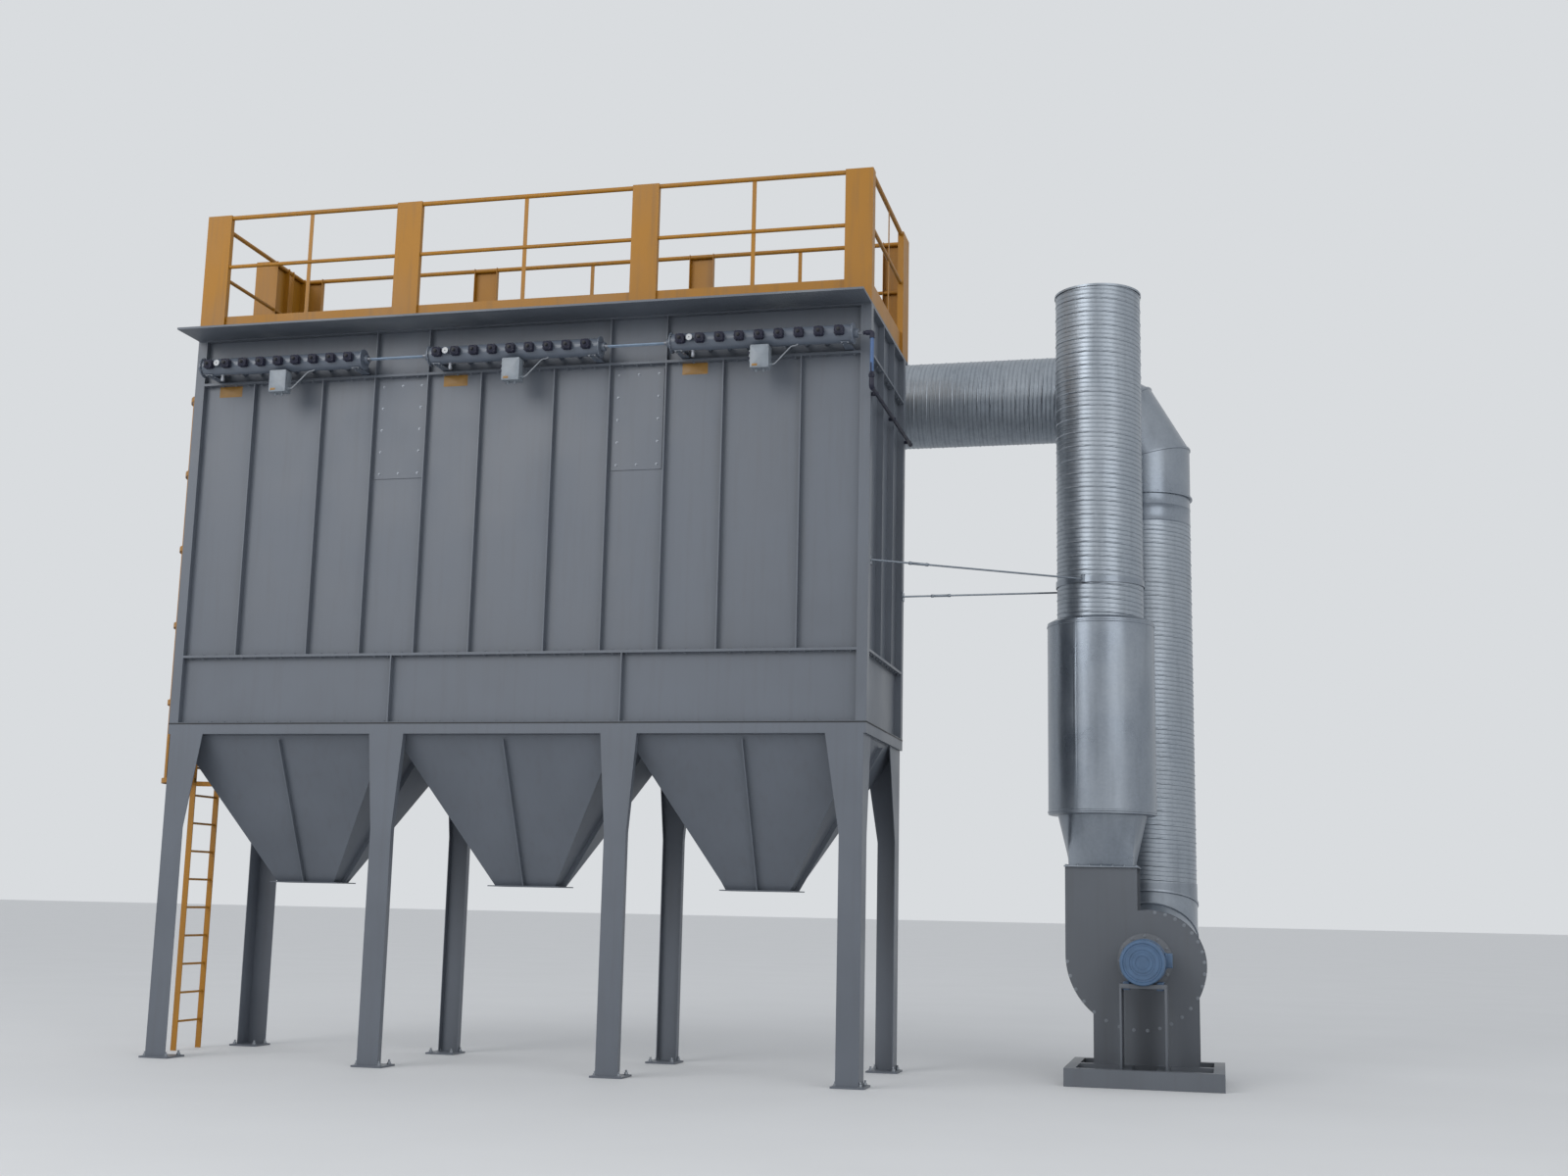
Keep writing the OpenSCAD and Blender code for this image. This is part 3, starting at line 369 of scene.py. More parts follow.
def swept(path, radius, columns=12):
    """A round bar carried along a path: centre plus radius times (cos a, sin a) across it, closed at both ends."""
    path = np.array(path, float)
    tangent = np.gradient(path, axis=0)
    tangent /= np.linalg.norm(tangent, axis=1)[:, None]
    side = axes_along(tangent[0])[0]
    sides = []
    for t in tangent:
        side = side - t * (side @ t)
        side = side / np.linalg.norm(side)
        sides.append(side)
    sides = np.array(sides)
    ups = np.cross(tangent, sides)
    a = around(columns)[None, :, None]
    rings = path[:, None] + radius * (np.cos(a) * sides[:, None] + np.sin(a) * ups[:, None])
    ends = np.repeat(path[[0, -1], None], columns, 1)
    rings = np.concatenate([ends[:1], rings, ends[1:]])
    return rings.reshape(-1, 3), grid(len(rings), columns)


def spiral_wall(length, radius, pitch, wall, columns=72):
    """A spiral duct along Z: its outer radius rises by a rolled rib three times, and by a folded seam once,
    in each pitch of the helix h / pitch + a / full turn. Its bore is plain. Returns the shape and rib heights."""
    ribs, rib_h, seam_h, rows_per_pitch, fade_l = 3, 0.0045, 0.0075, 24, 0.02
    rows = max(8, round(length / pitch * rows_per_pitch))
    h = np.linspace(0, length, rows)[:, None]
    a = around(columns)[None]
    turn = h / pitch + a / TAU
    rib = np.clip(1 - np.abs((turn * ribs + 0.5) % 1 - 0.5) / 0.20, 0, 1) ** 0.7
    seam = np.clip(1.25 - np.abs((turn + 0.5) % 1 - 0.5) / 0.065, 0, 1)
    rise = np.maximum(rib * rib_h, seam * seam_h)
    # The rolled ribs run out to nothing at both ends
    fade = np.clip(np.minimum(h, length - h) / fade_l, 0, 1)
    r = radius - seam_h + rise * fade
    r = np.concatenate([r, np.full((2, columns), radius - wall)])
    h = np.concatenate([h, [[length], [0]]])
    points = np.stack([r * np.cos(a), r * np.sin(a), np.repeat(h, columns, 1)], -1)
    heights = np.concatenate([rise / seam_h, np.ones((2, columns))])
    return (points.reshape(-1, 3), grid(len(h), columns, True)), heights.ravel()


def gored_bend(radius, tube_r, wall, skip=0.0, columns=64):
    """A four-piece bend in the XY plane from angle 0 to 90. Piece k runs straight along its own direction, and
    its rows end on the mitre planes, (radius + r cos a) tan(plane - direction) away. A folded lip stands at each
    mitre. The last piece stops a given length short of its end plane, where the next duct's spiral runs in."""
    pieces, step = range(4), 30
    a = around(columns)

    def row(k, plane, r, offset=0.0):
        m = math.radians(k * step)
        e, t = np.array([math.cos(m), math.sin(m), 0]), np.array([-math.sin(m), math.cos(m), 0])
        tilt = math.tan(math.radians(plane - k * step))
        along = (radius + r * np.cos(a)) * tilt + offset - skip * (plane == 90)
        return radius * e + r * (np.outer(np.cos(a), e) + np.outer(np.sin(a), Z)) + along[:, None] * t

    planes = [(max(0, k * step - step // 2), min(90, k * step + step // 2)) for k in pieces]
    lip = ((0.0, 0.010), (0.012, 0.010), (0.015, 0.0))
    rows = []
    for k, (low, high) in enumerate(planes):
        rows += [row(k, low, tube_r + up * (low > 0), along) for along, up in lip]
        rows += [row(k, high, tube_r + up * (high < 90), -along) for along, up in lip[::-1]]
    rows += [row(k, plane, tube_r - wall) for k in pieces[::-1] for plane in planes[k][::-1]]
    return np.concatenate(rows), grid(len(rows), columns, True)[:, ::-1]


def square_to_round(size, radius, height, wall, columns=64):
    """A transition on Z: each level is a blend of the rectangle's and the circle's outline at the same angles."""
    a = around(columns)
    reach = 1 / np.maximum(np.abs(np.cos(a)) / (size[0] / 2), np.abs(np.sin(a)) / (size[1] / 2))
    steps = [(0, 0), (0.25, 0), (0.5, 0), (0.75, 0), (1, 0), (1, wall), (0.5, wall), (0, wall)]
    return revolved([((1 - t) * reach + t * radius - inset, t * height) for t, inset in steps], columns)


def hexagon_bolt(across, head, washer):
    """A hexagon bolt head on a round washer: the radius follows the hexagon, cos 30 / cos(angle in its side)."""
    hexagon = across / 2 / np.cos((around(12) + math.pi / 6) % (math.pi / 3) - math.pi / 6)
    rim = across * 0.95
    return revolved([(0, 0), (rim, 0), (rim, washer), (hexagon, washer), (hexagon, washer + head * 0.85),
                     (hexagon * 0.86, washer + head), (0, washer + head)], 12)


def ring_of_bolts(centre, direction, radius, count, across):
    """Bolt heads on a circle round an axis."""
    x, y, _ = axes_along(direction)
    a = around(count)[:, None]
    spots = np.array(centre, float) + radius * (np.cos(a) * x + np.sin(a) * y)
    return placed(hexagon_bolt(across, across * 0.6, across * 0.12), spots, direction)


def frame_spots(size, pitch):
    """Even spots round a rectangle's outline, none doubled at the corners."""
    w, d = size
    nx, ny = max(1, round(w / pitch)), max(1, round(d / pitch))
    along, across = np.arange(nx) / nx * w - w / 2, np.arange(ny) / ny * d - d / 2
    sides = (along, -d / 2), (w / 2, across), (-along, d / 2), (-w / 2, -across)
    return np.concatenate([points_at(u, v, 0) for u, v in sides])


def clear_spots(start, end, pitch, keep_off, gap=0.028):
    """Even spots between two ends that stay clear of the given places."""
    spots = np.linspace(start, end, max(2, int(round((end - start) / pitch)) + 1))
    return spots[(np.abs(spots[:, None] - np.asarray(keep_off)[None]) > gap).all(1)]


def piece(name, shape, finish, replaces=(), ribs=()):
    """Makes a shape a piece of the object: doubled corners drop out of its faces, and it rides on the frame.
    Rib heights are given for its first points, and the others count as crests."""
    points, faces = shape
    places, index = np.unique(np.round(points, 6), axis=0, return_inverse=True)
    index = index.reshape(-1)
    faces = index[faces]
    keep = faces != np.roll(faces, -1, axis=1)
    whole = keep.sum(1) > 2
    loops, totals = faces[whole][keep[whole]], keep[whole].sum(1)
    mesh = bpy.data.meshes.new(name)
    mesh.vertices.add(len(places))
    mesh.vertices.foreach_set("co", places.ravel())
    mesh.loops.add(len(loops))
    mesh.loops.foreach_set("vertex_index", loops)
    mesh.polygons.add(len(totals))
    mesh.polygons.foreach_set("loop_start", np.cumsum(totals) - totals)
    mesh.polygons.foreach_set("loop_total", totals)
    if len(ribs):
        heights = np.ones(len(places), np.float32)
        heights[index[: len(ribs)]] = ribs
        mesh.attributes.new("rib", "FLOAT", "POINT").data.foreach_set("value", heights)
    mesh.update(calc_edges=True)
    mesh.validate()
    mesh.materials.append(bpy.data.materials[finish])
    mesh.shade_smooth()
    mesh.set_sharp_from_angle(angle=math.radians(40))
    made = bpy.data.objects.new(name, mesh)
    bpy.context.scene.collection.objects.link(made)
    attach(made, "root")
    if replaces:
        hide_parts(*replaces)


# ---- Sizes and colours that a user would change ----


def colour_setting(label, text, hex_colour):
    """A colour property whose default is an sRGB hex colour."""
    return FloatVectorProperty(
        name=label, description=text, subtype="COLOR", size=3, min=0, max=1, default=linear(hex_colour)
    )


def length_setting(label, text, metres, low, high):
    """A length property in metres."""
    return FloatProperty(
        name=label, description=text, default=metres, min=low, max=high, unit="LENGTH", subtype="DISTANCE"
    )


class FinishSettings(bpy.types.PropertyGroup):
    """Colours of the paints, metals and plastics."""

    casing: colour_setting("Casing paint", "Satin grey polyester paint of the casing", "#60666f")
    guard: colour_setting("Guardrail paint", "Gloss orange-yellow paint of rails and ladder", "#a16d0e")
    header: colour_setting("Header paint", "Blue-grey gloss paint of the air headers", "#5f6773")
    zinc: colour_setting("Spiral duct zinc", "Bright zinc of the spiral ducts", "#8f97a0")
    sheet: colour_setting("Plain sheet zinc", "Duller zinc of the bends, silencer and stays", "#7b838d")
    fan: colour_setting("Fan paint", "Satin grey paint of the fan", "#5d6269")
    motor: colour_setting("Motor enamel", "Blue-grey enamel of the motor", "#4a6482")
    valve: colour_setting("Valve black", "Violet-black of the diaphragm valves", "#11142c")
    box: colour_setting("Pilot box", "Pale grey of the pilot boxes", "#7f878f")
    hose: colour_setting("Air pipe", "Mid blue of the supply pipe", "#43628f")
    link: colour_setting("Link pipe", "Light blue-grey of the pipes between the headers", "#7d90a5")
    label: colour_setting("Sticker", "Amber of the plain stickers", "#8f6a2f")


class DuctSettings(bpy.types.PropertyGroup):
    """Sizes of the spiral ducts, bends and silencer."""

    pitch: length_setting("Strip width",
        "Distance from one folded seam of the spiral to the next", 0.137, 0.08, 0.2)
    wall: length_setting("Duct wall", "Drawn thickness of the duct sheet", 0.006, 0.002, 0.01)
    sleeve: length_setting("Sleeve", "Smooth sleeve at the top of the drop duct", 0.290, 0.1, 0.5)
    overlap: length_setting("Spiral overlap",
        "How far the outlet duct's spiral runs into the bend", 0.110, 0.0, 0.11)


class FastenerSettings(bpy.types.PropertyGroup):
    """Sizes and spacings of the bolts."""

    panel_pitch: length_setting("Panel bolt spacing",
        "Distance between bolts along the casing flanges", 0.14, 0.08, 0.3)
    panel_bolt: length_setting("Panel bolt", "Width across flats of the casing bolts", 0.017, 0.010, 0.024)
    anchor_nut: length_setting("Anchor nut", "Width across flats of the anchor nuts", 0.030, 0.020, 0.036)


class AirSettings(bpy.types.PropertyGroup):
    """Places and sizes of the compressed-air parts."""

    header_y: length_setting("Header distance",
        "From the casing's front to the headers' axis", 0.200, 0.19, 0.24)
    header_z: length_setting("Header height", "Above the head chamber's lower edge", 0.110, 0.1, 0.16)
    header_r: length_setting("Header radius", "Outer radius of the air headers", 0.084, 0.07, 0.1)
    cap: length_setting("Cap length", "Length of the headers' end caps", 0.040, 0.03, 0.05)
    tilt: FloatProperty(
        name="Valve tilt", description="Angle of the valves above level", subtype="ANGLE",
        default=0, min=0, max=math.radians(40),
    )
    pipe_r: length_setting("Supply pipe radius", "Outer radius of the supply pipe", 0.018, 0.01, 0.02)
    link_r: length_setting("Link pipe radius", "Outer radius of the linking pipes", 0.008, 0.005, 0.01)


class StageSettings(bpy.types.PropertyGroup):
    """Light and floor."""

    sky: FloatProperty(name="Sky strength", description="Strength of the even light", default=0.8, min=0, max=3)
    key: FloatProperty(name="Key light", description="Strength of the soft lamps", default=1.0, min=0, max=6)
    floor: colour_setting("Floor", "Pale studio floor", "#d9dadb")


# ---- Pieces ----


class BAGFILTER_OT_finishes(bpy.types.Operator):
    """Makes the materials and gives the CAD nodes theirs"""

    bl_idname = "bagfilter.finishes"
    bl_label = "Finishes"

    def execute(self, context):
        tones = context.scene.bagfilter_finishes
        for name, (_, maker, colour, numbers) in FINISHES.items():
            maker(name, linear(colour) if colour.startswith("#") else getattr(tones, colour), **numbers)
        by_slot = {slot: name for name, (slot, *_) in reversed(FINISHES.items())}
        slots = {part["node"]: part["material_slot"] for part in frame["record"]["subparts"]}
        for name, node in frame["nodes"].items():
            finish = "painted_tread_plate" if name == "roof_deck" else by_slot[slots[name]]
            node.data.materials.clear()
            node.data.materials.append(bpy.data.materials[finish])
        return {"FINISHED"}


class BAGFILTER_OT_spiral_ducts(bpy.types.Operator):
    """Makes the stack, the drop duct and the outlet duct as spiral sheet"""

    bl_idname = "bagfilter.spiral_ducts"
    bl_label = "Spiral ducts"

    def execute(self, context):
        duct = context.scene.bagfilter_ducts
        foot, height, outer = upright("stack")
        rim_t, rim_h, lap = 0.006, 0.020, 0.001
        radius = outer - rim_t
        shape, rib = spiral_wall(height, radius, duct.pitch, duct.wall)
        rim = revolved([(radius - lap, -rim_h), (outer, -rim_h), (outer, 0), (radius - lap, 0)], 72)
        parts = joined(placed(shape, foot), placed(rim, foot + height * Z))
        piece("stack_spiral", parts, "galvanised_spiral_sheet", ["stack"], ribs=rib)

        foot, height, radius = upright("drop_duct")
        shape, rib = spiral_wall(height - duct.sleeve, radius, duct.pitch, duct.wall)
        piece("drop_duct_spiral", placed(shape, foot), "galvanised_spiral_sheet", ["drop_duct"], ribs=rib)
        inner, bead_h, bead_w = radius - duct.wall, 0.004, 0.008
        skin = radius - bead_h
        beads = [(skin + bead_h * (dz == 0), z + dz)
                 for z in (0.012, duct.sleeve * 0.62) for dz in (-bead_w, 0, bead_w)]
        sleeve = revolved([(inner, 0), (skin, 0), *beads, (skin, duct.sleeve), (inner, duct.sleeve)], 72)
        piece("drop_duct_sleeve", placed(sleeve, foot + (height - duct.sleeve) * Z), "galvanised_plain_sheet")

        low, high = corners("outlet_manifold")
        radius = (high[2] - low[2]) / 2
        end = np.array([low[0], high[1] - radius, low[2] + radius])
        run, rib = spiral_wall(high[0] - low[0] + duct.overlap, radius, duct.pitch, duct.wall, 60)
        cap = [(0, 0), (radius * 0.97, 0), (radius, 0.004), (radius, 0.018), (radius - 0.002, 0.02), (0, 0.02)]
        branch_r, ring_r, ring_t, bevel, seam_h = 0.200, 0.220, 0.020, 0.003, 0.005
        length = end[1] - CASING_D + RIB_D
        seam = [(-0.012, 0), (-0.005, seam_h), (0.005, seam_h), (0.012, 0)]
        seams = np.arange(0.24, length - radius, duct.pitch * 1.5)
        reach = length - math.sqrt(radius**2 - branch_r**2) + 0.02
        inner = branch_r - duct.wall
        collar = [(inner, 0), (branch_r, 0), *((branch_r + up, z + dz) for z in seams for dz, up in seam),
                  (branch_r, reach), (inner, reach)]
        ring = [(branch_r - 0.001, 0), (ring_r - bevel, 0), (ring_r, bevel), (ring_r, ring_t - bevel),
                (ring_r - bevel, ring_t), (branch_r - 0.001, ring_t)]
        x = (np.arange(UNITS) + 0.5) * BAY_W
        branches = placed(revolved(collar, 40), points_at(x, CASING_D - RIB_D, BRANCH_Z), Y)
        rings = placed(revolved(ring, 40), points_at(x, CASING_D, BRANCH_Z), Y)
        parts = joined(placed(run, end, X), placed(revolved(cap, 60), end, X), branches, rings)
        piece("outlet_duct_spiral", parts, "galvanised_spiral_sheet", ["outlet_manifold"], ribs=rib)
        return {"FINISHED"}


class BAGFILTER_OT_bends(bpy.types.Operator):
    """Makes the segmented bends with a folded lip at each mitre"""

    bl_idname = "bagfilter.bends"
    bl_label = "Segmented bends"

    def execute(self, context):
        duct = context.scene.bagfilter_ducts
        (x, y, _), _, tube_r = upright("drop_duct")
        inner = tube_r - duct.wall
        low, high = corners("duct_bend")
        collar_l, ring_r, ring_t, bevel = 0.150, tube_r + 0.020, 0.020, 0.002
        bend_z = low[2] + collar_l
        radius = high[2] - tube_r - bend_z
        bend = placed(gored_bend(radius, tube_r, duct.wall, duct.overlap), (x - radius, y, bend_z), -Y, X)
        # The collar ends a hair inside the bend's skin, so that their rims don't merge
        hair = 0.0002
        collar = revolved([
            (inner, 0), (ring_r - bevel, 0), (ring_r, bevel), (ring_r, ring_t - bevel), (ring_r - bevel, ring_t),
            (tube_r, ring_t + 0.001), (tube_r - hair, collar_l), (inner + hair, collar_l),
        ], 64)
        bolts = ring_of_bolts((x, y, low[2] + ring_t), Z, tube_r + 0.010, 20, 0.010)
        parts = joined(bend, placed(collar, (x, y, low[2])), bolts)
        piece("upper_bend", parts, "galvanised_plain_sheet", ["duct_bend"])

        low, high = corners("inlet_bend")
        shaft_z = low[2] + tube_r
        radius = high[2] - shaft_z
        length = y - radius - low[1]
        bend = placed(gored_bend(radius, tube_r, duct.wall), (x, y - radius, high[2]), -X, Y)
        inlet_r, flange_w, flange_t, lip = 0.360, 0.030, 0.012, 0.012
        cone = revolved([
            (inlet_r - duct.wall, 0), (inlet_r + flange_w, 0), (inlet_r + flange_w, flange_t),
            (inlet_r + 0.004, flange_t), (tube_r, length - lip), (tube_r + lip, length - lip),
            (tube_r + lip, length), (inner, length),
        ], 64)
        bolts = ring_of_bolts((x, low[1] + flange_t, shaft_z), Y, inlet_r + flange_w / 2, 16, 0.013)
        parts = joined(bend, placed(cone, (x, low[1], shaft_z), Y), bolts)
        piece("inlet_bend_and_cone", parts, "galvanised_plain_sheet", ["inlet_bend"])
        return {"FINISHED"}


class BAGFILTER_OT_silencer(bpy.types.Operator):
    """Makes the silencer drum with its seams, and the square-to-round piece under it"""

    bl_idname = "bagfilter.silencer"
    bl_label = "Silencer"

    def execute(self, context):
        wall = context.scene.bagfilter_ducts.wall
        low, high = corners("silencer")
        (x, y, _), _, stack_r = upright("stack")
        stack_r -= wall
        foot = np.array([x, y, low[2]])
        drum_r, drum_h, slope, seam_h = (high[0] - low[0]) / 2, 1.900, 0.035, 0.006
        skin = drum_r - seam_h
        seam = [(-0.012, 0), (-0.006, seam_h), (0.006, seam_h), (0.012, 0)]
        seams = [(skin + up, z + dz) for z in (0.03, drum_h - slope - 0.03) for dz, up in seam]
        drum = revolved([
            (stack_r, 0), (skin - 0.02, 0), (skin, 0.006), *seams, (skin, drum_h - slope),
            (skin - 0.055, drum_h - 0.004), (stack_r + 0.012, drum_h), (stack_r, drum_h),
        ], 96)
        drum_z = high[2] - drum_h
        mouth, flange_w, flange_t = np.array([0.610, 0.600]), 0.040, 0.012
        funnel = square_to_round(mouth, stack_r, drum_z - low[2], wall)
        flange = rounded_frame(mouth + 2 * flange_w, mouth - 0.004, flange_t)
        spots = foot + flange_t * Z + frame_spots(mouth + flange_w, 0.11)
        # The drum's one upright lap stands to the left of its front, under a row of rivets
        turn = math.radians(-115)
        out = np.array([math.cos(turn), math.sin(turn), 0])
        lap = rounded_block((0.034, drum_h - 0.10, 0.0035), 0.002, 0.001)
        middle = np.array([x, y, high[2] - drum_h / 2]) + out * (skin - 0.0008)
        rivets = middle + out * 0.002 + np.outer(np.linspace(-0.85, 0.85, 24), Z)
        parts = joined(
            placed(drum, (x, y, drum_z)), placed(funnel, foot), placed(flange, foot),
            placed(hexagon_bolt(0.016, 0.010, 0.002), spots), placed(lap, middle, out, np.cross(Z, out)),
            placed(turned(8, (4.5, 0), (3.5, 2), (0, 3)), rivets, out),
        )
        piece("silencer_drum", parts, "galvanised_plain_sheet", ["silencer"])
        return {"FINISHED"}


def header_axis(i):
    """Left end, right end, Y and Z of an air header between its end caps."""
    air = bpy.context.scene.bagfilter_air
    low, high = corners(f"air_header_{i}")
    return low[0] + air.cap, high[0] - air.cap, -air.header_y, WALL_HIGH[2] + air.header_z


class BAGFILTER_OT_valves(bpy.types.Operator):
    """Makes the diaphragm valves with cap bolts and pilot housings"""

    bl_idname = "bagfilter.valves"
    bl_label = "Pulse valves"

    def execute(self, context):
        air = context.scene.bagfilter_air
        out = np.array([0, -math.cos(air.tilt), math.sin(air.tilt)])
        ears = 44 + 10 * np.clip(-1.6 * np.cos(4 * around(48)), 0, 1)
        body = turned(
            48, (ears - 2, 0), (ears, 2), (ears, 13), (ears - 2, 16), (40, 18), (38, 22), (38, 34), (40, 38),
            (ears - 1, 40), (ears, 42), (ears, 51), (ears - 2, 54), (37, 56), (34, 61), (26, 64.5), (21, 66),
        )
        middle = turned(20, (17.5, 60), (18, 67), (18, 79), (16.5, 81), (12, 82), (12, 87), (10, 89), (0, 89.5))
        cap_r, cap_z = 0.0425, 0.053125
        a = around(4) + math.pi / 4
        ring = placed(hexagon_bolt(0.010, 0.006, 0.001), points_at(cap_r * np.cos(a), cap_r * np.sin(a), cap_z))
        middles = []
        for i in NUMBERS:
            low, high = corners(f"pulse_valves_{i}")
            _, _, y, z = header_axis(i)
            x = np.linspace(low[0] + 0.052, high[0] - 0.052, 9)
            seats = points_at(x, y, z) + out * (air.header_r + 0.008)
            valves = joined(placed(body, seats, out), placed(ring, seats, out))
            piece(f"diaphragm_valves_{i}", valves, "black_cast_aluminium", [f"pulse_valves_{i}"])
            middles.append(placed(middle, seats, out))
        piece("valve_pilots", joined(*middles), "black_nylon")
        return {"FINISHED"}


class BAGFILTER_OT_air_fittings(bpy.types.Operator):
    """Makes the pilot boxes, gauges, drains, conduits, linking pipes and the supply line"""

    bl_idname = "bagfilter.air_fittings"
    bl_label = "Air fittings"

    def execute(self, context):
        air = context.scene.bagfilter_air
        r = air.header_r
        conduits, dials, cases, screws, black, links = ([] for _ in range(6))
        screw = turned(10, (6, 0), (5, 3), (0, 4))
        gland = turned(12, (14, 0), (14, 10), (11, 12), (11, 24))
        knuckle = turned(12, (9, 0), (10, 1), (10, 23), (9, 24))
        case = turned(28, (7, 0), (7, 24), (31, 24), (33, 26), (33, 44), (31, 46), (28.5, 46), (28.5, 43))
        dial = turned(28, (28, 42), (28, 43.8))
        hub = turned(12, (6, 43), (5, 45.5))
        tap = turned(14, (11, -1), (17.5, 2), (17.5, 12), (20.5, 14), (20.5, 30), (17.5, 32), (17.5, 50), (21, 52),
                     (21, 60))
        for i in NUMBERS:
            left, right, y, z = header_axis(i)
            low, high = corners(f"pilot_box_{i}")
            (w, d, h), (cx, cy, cz) = high - low, (low + high) / 2
            # A tray, a gasket set in a little, and the lid
            box = joined(
                rounded_block((w, h, d - 0.040), 0.012),
                placed(rounded_block((w - 0.012, h - 0.012, 0.010), 0.010), (0, 0, d - 0.044)),
                placed(rounded_block((w, h, 0.034), 0.012), (0, 0, d - 0.037)),
            )
            hinge = rounded_block((0.050, 0.110, 0.018), 0.006, 0.002)
            hinge = placed(hinge, (low[0] + 0.001, cy, cz + 0.015), -X, Y)
            glands = placed(gland, [(cx - 0.04, cy, low[2]), (cx + 0.03, cy, low[2])], -Z)
            side_gland = placed(gland, (high[0] - 0.001, cy, low[2] + 0.040), X)
            piece(f"pilot_case_{i}", joined(placed(box, (cx, high[1], cz), -Y, X), hinge, glands, side_gland),
                  "pale_polycarbonate", [f"pilot_box_{i}"])
            black.append(placed(knuckle, [(low[0] - 0.019, cy - 0.020, cz + dz) for dz in (-0.022, 0.028)]))
            edge_x, edge_z = w / 2 - 0.014, h / 2 - 0.014
            spots = points_at(cx + SIDE_U * edge_x, low[1] + 0.003, cz + SIDE_V * edge_z)
            screws.append(placed(screw, spots, -Y))
            # The conduit leaves the side gland, climbs to the header's underside and turns up into it
            gland_z, near, under = low[2] + 0.040, y - 0.020, z - r - 0.009
            run = [(0.010, cy, gland_z), (0.040, cy, gland_z), (0.190, near, under), (0.265, near, under),
                   (0.265, near, z - r + 0.020)] + high[0] * X
            conduits.append(swept(bent_path(run, 0.050), 0.006, 10))
            face = (left + 0.205, y - r + 0.002, z + 0.010)
            cases.append(placed(case, face, -Y))
            dials.append(placed(dial, face, -Y))
            black.append(placed(hub, face, -Y))
            cases.append(placed(tap, (left + 0.212, y, z - r - 0.060)))
            flange_x, flange_lip, saddle_x, foot_pitch = 0.012, 0.0075, 0.080, 0.028
            for x, out in ((left + flange_x, X), (right - flange_x, -X)):
                screws.append(ring_of_bolts((x, y, z), out, r + flange_lip, 12, 0.008))
            feet = [points_at(x + SIDE_U * foot_pitch, y + SIDE_V * foot_pitch, z - r - 0.004)
                    for x in (left + saddle_x, right - saddle_x)]
            screws.append(placed(hexagon_bolt(0.013, 0.008, 0.002), feet, -Z))
        piece("pilot_conduits", joined(*conduits), "grey_pvc_conduit")
        piece("gauge_dials", joined(*dials), "white_dial")
        piece("header_and_box_screws", joined(*screws), "zinc_plated_bolt")

        nut = turned(12, (13, 0), (15, 2), (15, 18), (11, 20), (11, 30))
        for i in NUMBERS[:-1]:
            _, right, y, z = header_axis(i)
            a, b = right + air.cap, header_axis(i + 1)[0] - air.cap
            for side in (y - 2 * air.link_r, y + 2 * air.link_r):
                links.append(swept(np.linspace((a, side, z), (b, side, z), 3), air.link_r, 12))
                cases += [placed(nut, (a - 0.001, side, z), X), placed(nut, (b + 0.001, side, z), -X)]
        low, high = corners("air_line")
        _, right, y, z = header_axis(UNITS)
        pipe, elbow_r = air.pipe_r, 0.021
        end_x, low_z, rear_y = high[0] - elbow_r, low[2] + elbow_r, high[1] - elbow_r
        top, foot = np.array([end_x, y, z]), np.array([end_x, y, low_z])
        # The supply: a cock on the header, an elbow down, a ball valve, an elbow back and the run to the rear
        nipple = turned(6, (19, 0), (19, 20), (13, 22), (13, 30))
        cases.append(placed(nipple, (right + air.cap - 0.001, y, z), X))
        cock = turned(20, (18, 0), (19, 12), (15, 14), (15, 19), (21, 23), (23.5, 34), (23.5, 48), (21, 59),
                      (15, 63))
        ball = turned(20, (19, 0), (19, 12), (24, 16), (28, 26), (28, 44), (24, 54), (19, 58), (19, 70))
        coupling = turned(18, (20, 0), (21, 2), (21, 20), (17, 22), (17, 38), (21, 40), (21, 58), (20, 60))
        lever = foot + [(0, -0.020, 0.105), (0, -0.038, 0.105), (0, -0.040, 0.215)]
        clip = rounded_block((0.040, 0.030, end_x - CASING_W + pipe + 0.002), 0.004, 0.002)
        black += [
            placed(cock, top - 0.083 * X, X),
            swept(bent_path([top - 0.024 * X, top, top - 0.055 * Z], 0.0185), pipe + 0.006, 16),
            swept(bent_path([foot + 0.072 * Z, foot, foot + 0.055 * Y], 0.022), pipe + 0.006, 16),
            swept([foot + 0.04 * Y, (end_x, (y + rear_y) / 2, low_z), (end_x, rear_y, low_z)], pipe, 16),
            placed(ball, foot + 0.070 * Z),
            swept(bent_path(lever, 0.010), 0.006, 10),
            placed(coupling, (end_x, high[1] - 0.060, low_z), Y),
            placed(clip, [(CASING_W, spot, low_z) for spot in (0.05, CASING_D / 2, CASING_D - 0.05)], X, Y),
        ]
        piece("air_fittings_black", joined(*black), "black_cast_aluminium", ["air_line"])
        blue = swept([top - 0.03 * Z, (top + foot) / 2, foot + 0.06 * Z], pipe, 16)
        piece("air_pipes_blue", blue, "blue_coated_pipe")
        piece("air_link_pipes", joined(*links), "pale_link_pipe")
        piece("gauge_cases_and_nipples", joined(*cases), "bare_die_casting")
        return {"FINISHED"}


